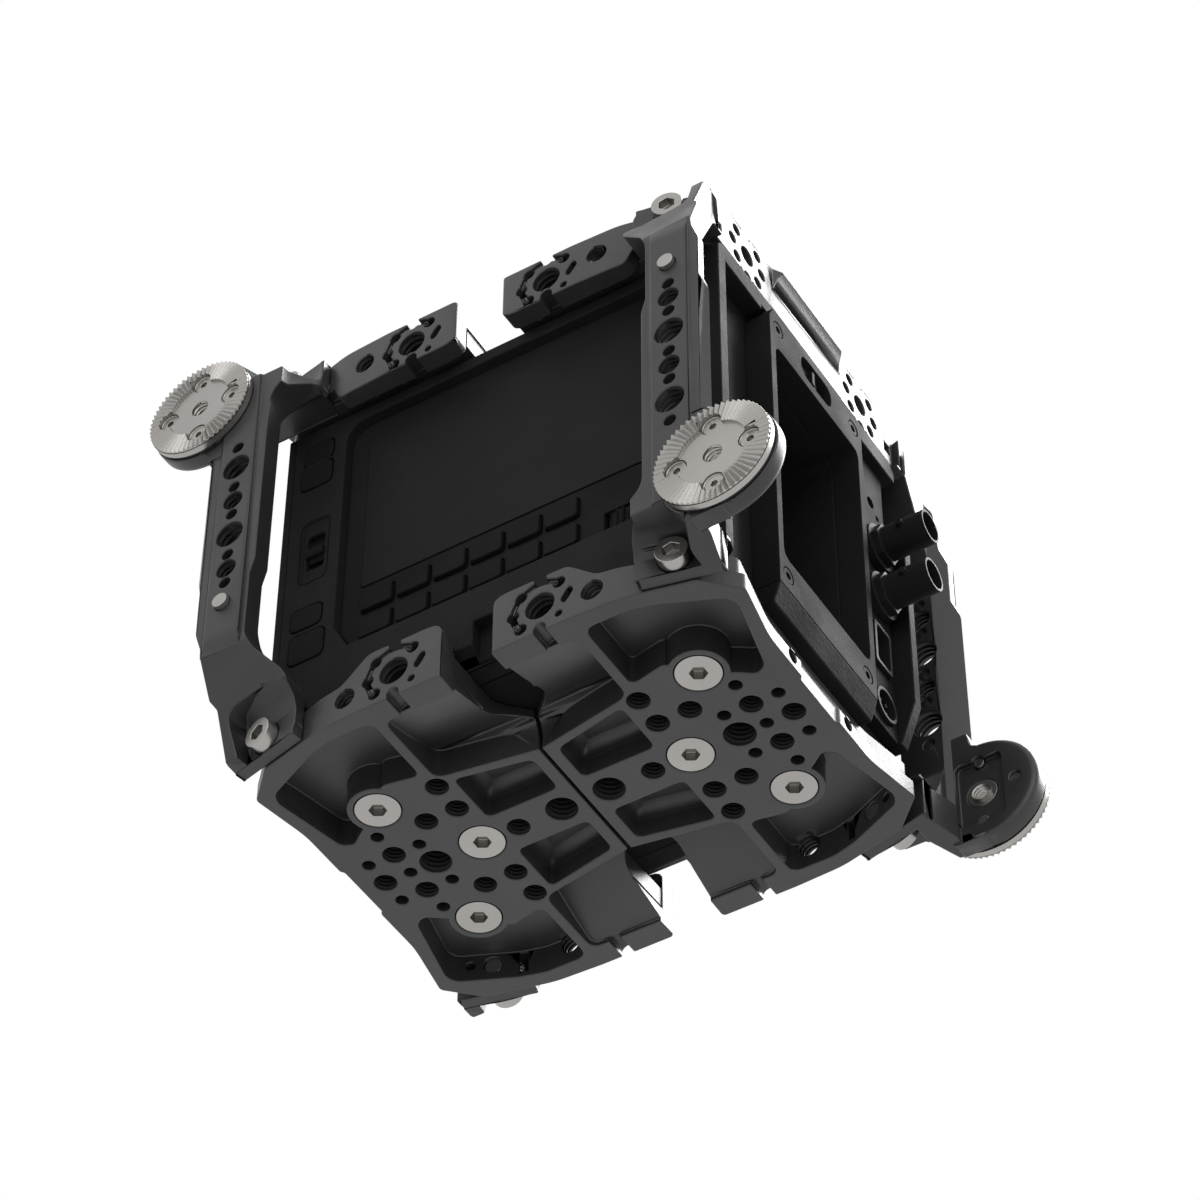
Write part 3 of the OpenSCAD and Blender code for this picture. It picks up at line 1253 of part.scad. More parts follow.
module key_places() {
  for (row = [0, 1]) for (k = [0 : key_row_n - 1])
    translate([0, key_y + k * key_pitch, key_z - row * key_row_pitch]) children();
}
module control_panel() {
  color(trim_color) difference() {
    along_x(panel_face, panel_back) polygon(soft(recess_pts(-fit_gap)));
    along_x(panel_face - over, panel_face + glass_t - glass_rise) polygon(soft(glass_pts(fit_gap)));
    key_places() along_x(panel_face - over, panel_back + over)
      polygon(soft(box_pts(key_w + 2 * run_gap, key_h + 2 * run_gap, key_round)));
    block([panel_face - over, wheel_y - wheel_window_w / 2, wheel_z - wheel_window_h / 2],
      [panel_back + over, wheel_y + wheel_window_w / 2, wheel_z + wheel_window_h / 2]);
  }
}
module display_glass() {
  color(glass_color) along_x(panel_face - glass_rise, panel_face + glass_t - glass_rise)
    polygon(soft(glass_pts(0)));
}
module key(row, k) {
  color(key_color) translate([0, key_y + (k - 1) * key_pitch, key_z - row * key_row_pitch])
    along_x(panel_face - key_rise, panel_face + key_back) polygon(soft(box_pts(key_w, key_h, key_round)));
}
module side_button(k) {
  color(key_color) translate([0, button_places[k][0], button_places[k][1]])
    along_x(-cam_half_w - button_rise, -cam_half_w - button_rise + button_t)
      polygon(soft(box_pts(button_sizes[k][0], button_sizes[k][1], button_round)));
}
module slide_switch() {
  color(key_color) translate([0, switch_y, switch_z]) {
    along_x(-cam_half_w + switch_depth / 2, -cam_half_w + switch_depth - run_gap)
      square([switch_w - 2 * run_gap, switch_nub_h], center = true);
    along_x(-cam_half_w, -cam_half_w + switch_depth / 2 + fit_gap)
      square([switch_w - 2 * run_gap, switch_nub_h / 2], center = true);
  }
}

rib_n = 16;
rib_d = 0.7;
module thumb_wheel() {
  color(key_color) translate([wheel_x, wheel_y, wheel_z - wheel_h / 2]) difference() {
    cylinder(r = wheel_r, h = wheel_h);
    translate([0, 0, -over]) cylinder(d = axle_d + 2 * axle_gap, h = wheel_h + 2 * over);
    for (k = [0 : rib_n - 1]) rotate([0, 0, k * 360 / rib_n]) translate([wheel_r, 0, -over])
      cylinder(r = rib_d, h = wheel_h + 2 * over);
  }
}
module wheel_axle() {
  color(steel_color) translate([wheel_x, wheel_y, wheel_z - wheel_box])
    cylinder(d = axle_d, h = axle_l() - screw_gap);
}

module key_upper_1() { key(0, 1); }
module key_upper_2() { key(0, 2); }
module key_upper_3() { key(0, 3); }
module key_upper_4() { key(0, 4); }
module key_upper_5() { key(0, 5); }
module key_upper_6() { key(0, 6); }
module key_lower_1() { key(1, 1); }
module key_lower_2() { key(1, 2); }
module key_lower_3() { key(1, 3); }
module key_lower_4() { key(1, 4); }
module key_lower_5() { key(1, 5); }
module key_lower_6() { key(1, 6); }
module side_button_1() { side_button(0); }
module side_button_2() { side_button(1); }
module side_button_3() { side_button(2); }
module side_button_4() { side_button(3); }

base_plate_rear();
base_plate_front();
top_plate_rear();
top_plate_front();
side_bar_rear_left();
side_bar_rear_right();
side_bar_front_left();
side_bar_front_right();
rosette_rear_left();
rosette_rear_right();
rosette_front_left();
rosette_front_right();
rosette_screws();
rosette_inserts();
base_screws();
top_screws();
foot_screws();
bar_pins();
body_shell();
front_cover();
base_cover();
battery_frame();
battery_well();
battery_contacts();
frame_screws();
battery_latch();
connector_panel();
video_jack_upper();
video_jack_lower();
data_port();
power_socket();
control_panel();
display_glass();
key_upper_1();
key_upper_2();
key_upper_3();
key_upper_4();
key_upper_5();
key_upper_6();
key_lower_1();
key_lower_2();
key_lower_3();
key_lower_4();
key_lower_5();
key_lower_6();
side_button_1();
side_button_2();
side_button_3();
side_button_4();
slide_switch();
thumb_wheel();
wheel_axle();
lens_mount();
sensor_module();
main_board();
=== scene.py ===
"""Camera cage: the looks of the metal cage and of the box camera that it holds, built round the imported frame."""

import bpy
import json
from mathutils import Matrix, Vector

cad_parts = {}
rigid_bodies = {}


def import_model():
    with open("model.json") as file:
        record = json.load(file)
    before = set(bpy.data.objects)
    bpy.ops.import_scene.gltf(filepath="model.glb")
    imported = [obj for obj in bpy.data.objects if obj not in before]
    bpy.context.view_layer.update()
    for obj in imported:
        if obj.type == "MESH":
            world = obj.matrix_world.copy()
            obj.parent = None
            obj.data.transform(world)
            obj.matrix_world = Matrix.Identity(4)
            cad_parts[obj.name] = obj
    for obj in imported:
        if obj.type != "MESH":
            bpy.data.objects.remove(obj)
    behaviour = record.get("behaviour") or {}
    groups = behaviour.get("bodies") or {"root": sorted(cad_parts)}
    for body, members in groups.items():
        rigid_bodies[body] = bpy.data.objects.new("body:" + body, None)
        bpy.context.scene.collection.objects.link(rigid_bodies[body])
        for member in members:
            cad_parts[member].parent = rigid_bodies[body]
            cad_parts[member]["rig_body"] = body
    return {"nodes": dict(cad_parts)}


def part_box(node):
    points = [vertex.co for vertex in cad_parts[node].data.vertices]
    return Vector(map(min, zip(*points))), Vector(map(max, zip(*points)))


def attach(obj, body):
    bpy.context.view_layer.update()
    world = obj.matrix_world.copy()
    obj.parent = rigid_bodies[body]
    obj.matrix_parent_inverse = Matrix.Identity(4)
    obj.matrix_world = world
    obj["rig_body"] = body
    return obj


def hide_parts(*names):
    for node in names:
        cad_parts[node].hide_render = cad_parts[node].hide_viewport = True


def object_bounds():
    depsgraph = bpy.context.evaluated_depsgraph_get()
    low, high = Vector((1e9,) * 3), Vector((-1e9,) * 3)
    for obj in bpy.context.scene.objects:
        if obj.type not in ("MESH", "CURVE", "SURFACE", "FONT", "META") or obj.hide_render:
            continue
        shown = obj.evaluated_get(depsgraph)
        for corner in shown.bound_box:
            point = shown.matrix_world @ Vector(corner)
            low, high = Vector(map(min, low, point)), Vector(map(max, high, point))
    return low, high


bl_info = {
    "name": "Camera cage",
    "version": (1, 0, 0),
    "blender": (4, 5, 0),
    "location": "View3D > Sidebar > Camera cage",
    "description": "Dresses a camera cage of plates, side bars and rosettes, and the camera in it",
    "category": "Add Mesh",
}

import json
from math import cos, pi, radians, sin

import bmesh
import bpy
import numpy as np
from bpy.props import FloatProperty, FloatVectorProperty, PointerProperty
from mathutils import Matrix, Vector
from mathutils.bvhtree import BVHTree
from mathutils.kdtree import KDTree

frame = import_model()
NODES = frame["nodes"]
CAD_LOW, CAD_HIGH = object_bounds()

PLATES = ("base_plate_rear", "base_plate_front", "top_plate_rear", "top_plate_front")
CORNERS = ("rear_left", "rear_right", "front_left", "front_right")
KEYS = [f"key_{row}_{k}" for row in ("upper", "lower") for k in range(1, 7)]
BUTTONS = [f"side_button_{k}" for k in range(1, 5)]

# Lengths are in metres. In a name, OUT and ALONG are distances from the cage's middle across it (X) and along it (Y),
# and LENGTH is the length of a bore.

# Plates: height of the top faces, and depths of a plate and its pockets
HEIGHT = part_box("top_plate_front")[1][2]
PLATE_THICKNESS = 0.0122
POCKET_DEPTH = 0.0088

# Threads: bore radius and lead
QUARTER = (0.00295, 0.00127)
WIDE = (0.0041, 0.0015875)
METRIC_SIX = (0.0026, 0.001)

# Section of a thread's ridge, in shares of its lead: its height, and half its width at the foot and at the tip
THREAD_HEIGHT_SHARE = 0.26
THREAD_FOOT_SHARE = 0.45
THREAD_TIP_SHARE = 0.08

# Threaded holes of a half plate, across and along from the middle of their group, and the place of that middle,
# all in steps of the lattice
QUARTER_SHARES = ((1, 0), (0, 1), (1.8, -1.8), (1.8, -3), (3, -3), (0, -4.25))
WIDE_SHARES = ((0, -1), (0, -5.92))
GROUP_SHARE = 6.83

# Threaded holes of a tab: the wide one, and the quarter-inch one beside it. A rise is the distance from the plate's
# outer face, and the second hole has its own on the base plates (-1) and on the top plates (1).
TAB_OUT = 0.0555
TAB_LENGTH = 0.0059
TAB_ALONG = 0.0211
TAB_RISE = 0.009
BESIDE_ALONG = 0.0356
BESIDE_RISE = {-1: 0.0069, 1: 0.0078}

# Threaded holes of a side bar: distance from the bar's middle in steps of the lattice, and thread
BAR_HOLES = ((-3.375, WIDE), (0, WIDE), (-1.69, QUARTER), (1.69, QUARTER))
BAR_OUT = 0.068759
BAR_ALONG = 0.065754
BAR_LENGTH = 0.0068

# Middle of a rosette, and its threaded bore
ROSETTE_RISE = 0.0161
ROSETTE_ALONG = 0.0784
HUB_OUT = 0.070759
HUB_LENGTH = 0.0072

# Depth of a fillet's hidden corner in the plate
BURIED = 0.0003

# Widths of the small edge breaks that aren't settings
FINE_EDGE = 0.0001
TOOTH_EDGE = 0.00012
SOCKET_EDGE = 0.00015
SCREW_EDGE = 0.0002
RING_EDGE = 0.0003

# Turns of the surface from which an edge is sharp: on most pieces, on the rosettes' teeth, on threads and fillets
EDGE_ANGLE = radians(28)
TOOTH_ANGLE = radians(20)
RIDGE_ANGLE = radians(40)

# Vertices nearer than this are one. A bevel strays when it is off the surface by more than this share of its width.
MERGE_DISTANCE = 1e-6
STRAY_SHARE = 1.1

# Pocket floors: how near a floor is to its height, the least upright share of its normal, the largest upright share
# of a wall's normal, and the least cosine by which a corner's normal is lengthened
SAME_HEIGHT = 1e-5
FLOOR_UPRIGHT = 0.999
WALL_UPRIGHT = 0.1
MITRE_LIMIT = 0.6

# Finishes: scale of the slow change of tone, scale and range of pointiness of the outward edges that get a painted
# highlight (which also stands for slightly worn metal), and height of the grain
TONE_SCALE = 35.0
HIGHLIGHT_AND_WEAR_SCALE = 900.0
HIGHLIGHT_AND_WEAR_FROM, HIGHLIGHT_AND_WEAR_TO = 0.52, 0.6
GRAIN_HEIGHT = 0.0002

# Camera: width of the photo's frame in pixels. Lights: direction from the object's middle, distance and width
PHOTO_PIXELS = 1200
KEY_LIGHT = ((0.585, -0.364, 0.721), 1.4, 0.9)
FILL_LIGHT = ((-0.7, -0.5, 0.2), 1.6, 1.2)


class CageSettings(bpy.types.PropertyGroup):
    """Sizes and colours of the metal cage."""

    edge: FloatProperty(name="Edge break", description="Width of the small bevel on machined edges",
                        default=0.0004, min=0, max=0.001, unit="LENGTH", precision=5)
    fillet: FloatProperty(name="Pocket fillet", description="Radius where a pocket's wall meets its floor",
                          default=0.0034, min=0.0005, max=0.005, unit="LENGTH", precision=5)
    pitch: FloatProperty(name="Hole pitch", description="Spacing of the hole lattice",
                         default=0.00762, min=0.007, max=0.008, unit="LENGTH", precision=5)
    plate_colour: FloatVectorProperty(name="Plates", description="Colour of the anodised plates", subtype="COLOR",
                                      size=3, min=0, max=1, default=(0.024, 0.024, 0.0245))
    bar_colour: FloatVectorProperty(name="Side bars", description="Colour of the anodised side bars",
                                    subtype="COLOR", size=3, min=0, max=1, default=(0.019, 0.019, 0.0195))
    steel_colour: FloatVectorProperty(name="Steel", description="Colour of the rosettes and screws",
                                      subtype="COLOR", size=3, min=0, max=1, default=(0.36, 0.347, 0.33))


class CameraSettings(bpy.types.PropertyGroup):
    """Sizes and colours of the camera in the cage."""

    edge: FloatProperty(name="Moulded edge", description="Radius on the casing's edges",
                        default=0.0005, min=0, max=0.001, unit="LENGTH", precision=5)
    key_edge: FloatProperty(name="Key edge", description="Radius on the edges of keys and buttons",
                            default=0.0004, min=0, max=0.001, unit="LENGTH", precision=5)
    casing_colour: FloatVectorProperty(name="Casing", description="Colour of the casing", subtype="COLOR",
                                       size=3, min=0, max=1, default=(0.009, 0.009, 0.009))
    trim_colour: FloatVectorProperty(name="Trim", description="Colour of panels and frames", subtype="COLOR",
                                     size=3, min=0, max=1, default=(0.011, 0.011, 0.011))
    key_colour: FloatVectorProperty(name="Keys", description="Colour of keys and buttons", subtype="COLOR",
                                    size=3, min=0, max=1, default=(0.008, 0.008, 0.008))
    contact_colour: FloatVectorProperty(name="Contacts", description="Colour of gold-plated contacts",
                                        subtype="COLOR", size=3, min=0, max=1, default=(0.75, 0.55, 0.24))


class StageSettings(bpy.types.PropertyGroup):
    """Camera, lights and floor."""

    place: FloatVectorProperty(name="Camera place", description="Where the camera stands", subtype="TRANSLATION",
                               size=3, default=(-0.63487, -0.39611, -0.70694))
    azimuth: FloatProperty(name="Azimuth", description="Direction in which the camera looks, about the upright axis",
                           default=radians(-58.298), subtype="ANGLE")
    elevation: FloatProperty(name="Elevation", description="Height of the camera, below the horizon where negative",
                             default=radians(-46.137), subtype="ANGLE")
    roll: FloatProperty(name="Roll", description="Turn about the line of sight", default=radians(0.273),
                        subtype="ANGLE")
    focal_pixels: FloatProperty(name="Focal length in pixels", description="Focal length in the photo's pixels",
                                default=4132.39, min=100)
    key_power: FloatProperty(name="Key light", description="Power of the large light above and behind",
                             default=34, min=0)
    fill_power: FloatProperty(name="Fill light", description="Power of the light on the camera's side",
                              default=6, min=0)
    world_strength: FloatProperty(name="Surroundings", description="Strength of the surroundings' diffuse light",
                                  default=0.6, min=0)
    floor_size: FloatProperty(name="Floor", description="Width of the floor", default=6, min=1, unit="LENGTH")


def cage_settings():
    """The cage's settings, kept on the scene."""
    return bpy.context.scene.cage_settings


def camera_settings():
    """The settings of the camera in the cage, kept on the scene."""
    return bpy.context.scene.cage_camera


def stage_settings():
    """The stage's settings, kept on the scene."""
    return bpy.context.scene.cage_stage


# Shader nodes

def add_node(tree, kind, inputs=(), **options):
    """Adds a shader node, sets its options, and links or sets its inputs."""
    node = tree.nodes.new(kind)
    for name, value in options.items():
        setattr(node, name, value)
    for name, value in dict(inputs).items():
        if isinstance(value, bpy.types.NodeSocket):
            tree.links.new(value, node.inputs[name])
        else:
            node.inputs[name].default_value = value
    return node


def math_node(tree, operation, first, second, clamp=False):
    """One step of arithmetic on two sockets or numbers."""
    return add_node(tree, "ShaderNodeMath", {0: first, 1: second}, operation=operation, use_clamp=clamp).outputs[0]


def new_group(name, inputs, outputs):
    """An empty shader node group with its sockets; returns the group and its two end nodes."""
    group = bpy.data.node_groups.new(name, "ShaderNodeTree")
    for socket, kind, value in inputs:
        made = group.interface.new_socket(socket, in_out="INPUT", socket_type=kind)
        if value is not None:
            made.default_value = value
    for socket, kind in outputs:
        group.interface.new_socket(socket, in_out="OUTPUT", socket_type=kind)
    return group, group.nodes.new("NodeGroupInput"), group.nodes.new("NodeGroupOutput")


def grain_group():
    """Fine grain: two sizes of noise added up, as on blasted metal and spark-eroded moulds."""
    found = bpy.data.node_groups.get("Fine grain")
    if found:
        return found
    group, start, end = new_group(
        "Fine grain",
        [("Vector", "NodeSocketVector", None), ("Scale", "NodeSocketFloat", 1500.0)],
        [("Height", "NodeSocketFloat")])
    noises = []
    for factor, detail in ((1.0, 2.0), (0.37, 1.0)):
        scale = math_node(group, "MULTIPLY", start.outputs["Scale"], factor)
        noises.append(add_node(group, "ShaderNodeTexNoise",
                               {"Vector": start.outputs["Vector"], "Scale": scale, "Detail": detail,
                                "Roughness": 0.6}).outputs["Fac"])
    group.links.new(math_node(group, "ADD", noises[0], noises[1]), end.inputs["Height"])
    return group


def mottle_group():
    """Slow variation: soft noise between two values, for roughness and tone."""
    found = bpy.data.node_groups.get("Slow variation")
    if found:
        return found
    group, start, end = new_group(
        "Slow variation",
        [("Vector", "NodeSocketVector", None), ("Scale", "NodeSocketFloat", 60.0),
         ("Low", "NodeSocketFloat", 0.4), ("High", "NodeSocketFloat", 0.5)],
        [("Value", "NodeSocketFloat")])
    noise = add_node(group, "ShaderNodeTexNoise",
                     {"Vector": start.outputs["Vector"], "Scale": start.outputs["Scale"], "Detail": 4.0})
    spread = add_node(group, "ShaderNodeMapRange",
                      {"Value": noise.outputs["Fac"], "From Min": 0.35, "From Max": 0.65,
                       "To Min": start.outputs["Low"], "To Max": start.outputs["High"]})
    group.links.new(spread.outputs["Result"], end.inputs["Value"])
    return group


def highlight_and_wear_group():
    """Painted edge highlight, which also stands for slightly worn metal: a mask of the outward edges, broken up by
    noise.
    """
    found = bpy.data.node_groups.get("Edge wear")
    if found:
        return found
    group, start, end = new_group(
        "Edge wear",
        [("Vector", "NodeSocketVector", None), ("Amount", "NodeSocketFloat", 0.3)],
        [("Mask", "NodeSocketFloat")])
    geometry = add_node(group, "ShaderNodeNewGeometry")
    # Painted highlight: the pointiest outward edges get the most of the lighter colour.
    edge = add_node(group, "ShaderNodeMapRange",
                    {"Value": geometry.outputs["Pointiness"], "From Min": HIGHLIGHT_AND_WEAR_FROM, "From Max": HIGHLIGHT_AND_WEAR_TO})
    noise = add_node(group, "ShaderNodeTexNoise",
                     {"Vector": start.outputs["Vector"], "Scale": HIGHLIGHT_AND_WEAR_SCALE, "Detail": 3.0})
    broken = math_node(group, "MULTIPLY", edge.outputs["Result"], noise.outputs["Fac"])
    group.links.new(math_node(group, "MULTIPLY", broken, start.outputs["Amount"], clamp=True), end.inputs["Mask"])
    return group


def colour_mix(tree, factor, first, second):
    """A mix of two colours, by the colour sockets of the mix node."""
    return add_node(tree, "ShaderNodeMix", {0: factor, 6: first, 7: second}, data_type="RGBA").outputs[2]


def surface(name, colour, roughness, spread=0.05, metallic=0.0, specular=0.5, grain=1500.0, depth=0.1,
            tone=0.12, highlight_and_wear=0.0, highlight_and_wear_colour=None, coat=0.0):
    """A finish made of a colour that varies slowly, fine grain in relief and, where asked, a painted highlight on
    outward edges that also stands for slightly worn metal.

    The roughness varies by spread and the colour by the share tone, each way. The grain has a scale and a depth, and
    the edge-lightening strength is how much of a lighter colour is painted on outward edges as a highlight, which
    also stands for slightly worn metal.
    """
    found = bpy.data.materials.get(name)
    if found:
        return found
    material = bpy.data.materials.new(name)
    material.use_nodes = True
    tree = material.node_tree
    shader = tree.nodes["Principled BSDF"]
    place = add_node(tree, "ShaderNodeTexCoord").outputs["Object"]
    rough = add_node(tree, "ShaderNodeGroup",
                     {"Vector": place, "Low": roughness - spread, "High": roughness + spread},
                     node_tree=mottle_group())
    tree.links.new(rough.outputs["Value"], shader.inputs["Roughness"])
    shade = add_node(tree, "ShaderNodeGroup", {"Vector": place, "Scale": TONE_SCALE, "Low": 0.0, "High": 1.0},
                     node_tree=mottle_group())
    darker = tuple(c * (1 - tone) for c in colour) + (1.0,)
    lighter = tuple(c * (1 + tone) for c in colour) + (1.0,)
    result = colour_mix(tree, shade.outputs["Value"], darker, lighter)
    # Painted highlight: outward edges are mixed towards a lighter colour, which also stands for slightly worn metal.
    if highlight_and_wear:
        mask = add_node(tree, "ShaderNodeGroup", {"Vector": place, "Amount": highlight_and_wear}, node_tree=highlight_and_wear_group())
        result = colour_mix(tree, mask.outputs["Mask"], result, tuple(highlight_and_wear_colour) + (1.0,))
    tree.links.new(result, shader.inputs["Base Color"])
    shader.inputs["Metallic"].default_value = metallic
    shader.inputs["Specular IOR Level"].default_value = specular
    shader.inputs["Coat Weight"].default_value = coat
    if depth:
        relief = add_node(tree, "ShaderNodeGroup", {"Vector": place, "Scale": grain}, node_tree=grain_group())
        bump = add_node(tree, "ShaderNodeBump", {"Strength": depth, "Distance": GRAIN_HEIGHT,
                                                 "Height": relief.outputs["Height"]})
        tree.links.new(bump.outputs["Normal"], shader.inputs["Normal"])
    return material


def plate_metal():
    """Black anodised plates, blasted fine before anodising."""
    # The lighter edge colour here is a painted highlight, which also stands for slightly worn anodising.
    return surface("plate anodising", cage_settings().plate_colour, 0.42, specular=0.6, grain=2600.0, depth=0.2,
                   highlight_and_wear=0.25, highlight_and_wear_colour=(0.12, 0.12, 0.12))


def bar_metal():
    """Black anodised side bars, a little smoother than the plates."""
    # The lighter edge colour here is a painted highlight, which also stands for slightly worn anodising.
    return surface("bar anodising", cage_settings().bar_colour, 0.4, specular=0.5, grain=3000.0, depth=0.08,
                   highlight_and_wear=0.25, highlight_and_wear_colour=(0.14, 0.14, 0.14))


def bore_metal():
    """Anodised threads, which stay darker than the faces round them."""
    return surface("bore anodising", (0.008, 0.008, 0.008), 0.5, specular=0.16, grain=3000.0, depth=0.05)


def steel():
    """Bare stainless steel of screws, pins and inserts."""
    return surface("stainless steel", cage_settings().steel_colour, 0.32, spread=0.06, metallic=1.0,
                   grain=2200.0, depth=0.06, tone=0.05)


def blasted_steel():
    """Stainless steel of the rosettes, blasted matte."""
    return surface("blasted stainless steel", cage_settings().steel_colour, 0.36, spread=0.05, metallic=1.0,
                   grain=2500.0, depth=0.14, tone=0.06)


def casing_plastic():
    """Black casing with a pebbled mould texture."""
    return surface("casing texture", camera_settings().casing_colour, 0.72, specular=0.13, grain=1700.0, depth=0.5,
                   tone=0.2)


def trim_plastic():
    """Black panels and frames with a finer texture."""
    return surface("trim texture", camera_settings().trim_colour, 0.75, specular=0.08, grain=2300.0, depth=0.35,
                   tone=0.15)


def key_plastic():
    """Matte black rubbery keys."""
    return surface("key surface", camera_settings().key_colour, 0.7, specular=0.08, grain=2600.0, depth=0.2)


def display_cover():
    """Matte anti-glare cover over the switched-off display."""
    return surface("display cover", (0.006, 0.006, 0.0062), 0.6, spread=0.02, specular=0.12, grain=3200.0,
                   depth=0.12, tone=0.03)


def socket_metal():
    """Black nickel of the sockets."""
    # The lighter edge colour here is a painted highlight, which also stands for slightly worn plating.
    return surface("black nickel", (0.012, 0.012, 0.0125), 0.55, specular=0.09, grain=2600.0,
                   depth=0.08, highlight_and_wear=0.15, highlight_and_wear_colour=(0.06, 0.06, 0.06))


def dark_oxide():
    """Black oxide of the small screws."""
    return surface("black oxide", (0.012, 0.012, 0.013), 0.7, specular=0.05, grain=2600.0, depth=0.05)


def gold_plate():
    """Gold-plated contacts."""
    return surface("gold plating", camera_settings().contact_colour, 0.28, metallic=1.0, depth=0.04, tone=0.08)


def board_green():
    """Solder mask of the circuit boards."""
    return surface("solder mask", (0.012, 0.06, 0.028), 0.35, specular=0.5, grain=900.0, depth=0.05, tone=0.25)


def sensor_cover():
    """Dark cover glass of the image sensor."""
    return surface("sensor cover", (0.008, 0.009, 0.014), 0.16, spread=0.03, specular=0.5, depth=0.0, tone=0.3,
                   coat=0.4)


# Meshes

def merged(node):
    """A copy of a CAD node's mesh with its doubled vertices merged."""
    mesh = bmesh.new()
    mesh.from_mesh(NODES[node].data)
    bmesh.ops.remove_doubles(mesh, verts=mesh.verts, dist=MERGE_DISTANCE)
    return mesh


def new_object(name, data):
    """Links a mesh, light or camera to the scene as an object at the origin."""
    made = bpy.data.objects.new(name, data)
    bpy.context.scene.collection.objects.link(made)
    return made


def body_of(node):
    """The body that a CAD node rides on."""
    return NODES[node]["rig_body"]


def sharp_edges(mesh, angle, kept_out):
    """Edges between faces that turn by more than angle, without those at the vertices kept out."""
    return [edge for edge in mesh.edges if len(edge.link_faces) == 2 and edge.calc_face_angle(0) > angle
            and not kept_out & {corner.index for corner in edge.verts}]


def broken_edges(mesh, width, angle, tries=8):
    """Gives the edges to be bevelled a weight of 1, and returns whether there are any.

    Each try bevels a copy. Where a bevel strays from the surface by more than its width, as at the tip of a thin
    face, the nearest corners of the mesh are kept out of the next try.
    """
    tree = BVHTree.FromBMesh(mesh)
    corners = KDTree(len(mesh.verts))
    mesh.verts.index_update()
    for corner in mesh.verts:
        corners.insert(corner.co, corner.index)
    corners.balance()
    kept_out = set()
    for _ in range(tries):
        trial = mesh.copy()
        bmesh.ops.bevel(trial, geom=sharp_edges(trial, angle, kept_out), offset=width, offset_type="OFFSET",
                        segments=1, profile=0.5, affect="EDGES", clamp_overlap=False, loop_slide=False)
        stray = {v for v in trial.verts if tree.find_nearest(v.co)[3] > STRAY_SHARE * width}
        beside = {edge.other_vert(v) for v in stray for edge in v.link_edges} - stray
        found = {corners.find(v.co)[1] for v in beside} - kept_out
        trial.free()
        if not found:
            break
        kept_out |= found
    weight = mesh.edges.layers.float.new("bevel_weight_edge")
    chosen = sharp_edges(mesh, angle, kept_out)
    for edge in chosen:
        edge[weight] = 1.0
    return bool(chosen)


def shaded(mesh, name, angle):
    """Writes a mesh being edited to a new one with smooth faces, and sharp edges where they turn by angle or more."""
    for face in mesh.faces:
        face.smooth = True
    for edge in mesh.edges:
        edge.smooth = len(edge.link_faces) == 2 and edge.calc_face_angle(pi) < angle
    data = bpy.data.meshes.new(name)
    mesh.to_mesh(data)
    mesh.free()
    return data


def dressed(node, material, width, angle=EDGE_ANGLE, segments=2):
    """A merged copy of a CAD node with edges broken to a width, which stands for that node."""
    mesh = merged(node)
    bevelled = width > 0 and broken_edges(mesh, width, angle)
    data = shaded(mesh, node + "_finish", angle)
    piece = new_object(node + "_finish", data)
    data.materials.append(material)
    if bevelled:
        bevel = piece.modifiers.new("Broken edges", "BEVEL")
        bevel.width = width
        bevel.segments = segments
        bevel.limit_method = "WEIGHT"
        bevel.use_clamp_overlap = False
        bevel.loop_slide = False
        bevel.harden_normals = True
    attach(piece, body_of(node))
    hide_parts(node)


def tube_mesh(name, rings, closed_path=False):
    """A mesh from rings of points, an array of ring, point and coordinate, with quads between neighbours.

    Ring i's point j joins ring i + 1's point j. The ends are capped unless the path closes on itself.
    """
    count, around = rings.shape[:2]
    steps = count if closed_path else count - 1
    i, j = np.meshgrid(np.arange(steps), np.arange(around), indexing="ij")
    after, beside = (i + 1) % count, (j + 1) % around
    quads = np.stack([i * around + j, after * around + j, after * around + beside, i * around + beside], -1)
    faces = quads.reshape(-1, 4).tolist()
    if not closed_path:
        faces.append(list(range(around)))
        faces.append(list(range((count - 1) * around, count * around))[::-1])
    data = bpy.data.meshes.new(name)
    data.from_pydata(rings.reshape(-1, 3).tolist(), [], faces)
    return data


def thread_rings(radius, lead, length, around=24):
    """Rings of one internal thread along +Z from the origin.

    The ridge has a V section of height d = THREAD_HEIGHT_SHARE * lead on the bore, its foot sunk by d / 4, carried
    along a helix of that lead: at height t the angle is a = 2 pi t / lead, and a point (r, z) of the section is at
    (r cos a, r sin a, t + z).
    """
    depth = THREAD_HEIGHT_SHARE * lead
    steps = int(round((length / lead - 1) * around))
    t = np.linspace(lead / 2, length - lead / 2, steps)
    angle = 2 * pi * t / lead
    foot, tip = radius + depth / 4, radius - depth
    section = np.array([(foot, -THREAD_FOOT_SHARE), (tip, -THREAD_TIP_SHARE), (tip, THREAD_TIP_SHARE),
                        (foot, THREAD_FOOT_SHARE)])
    r = section[None, :, 0]
    z = t[:, None] + section[None, :, 1] * lead
    return np.stack([r * np.cos(angle)[:, None], r * np.sin(angle)[:, None], z], -1)


def turned(points, place, axis):
    """Points along +Z moved so that their axis runs from place along axis."""
    turn = Vector((0, 0, 1)).rotation_difference(Vector(axis)).to_matrix()
    return points @ np.array(turn).T + np.array(place)


def joined(name, parts, closed_path=False):
    """One mesh from several ring arrays, each a closed ridge or tube."""
    mesh = bmesh.new()
    for k, rings in enumerate(parts):
        part = tube_mesh(f"{name}_{k}", rings, closed_path)
        mesh.from_mesh(part)
        bpy.data.meshes.remove(part)
    bmesh.ops.recalc_face_normals(mesh, faces=mesh.faces)
    return shaded(mesh, name, RIDGE_ANGLE)


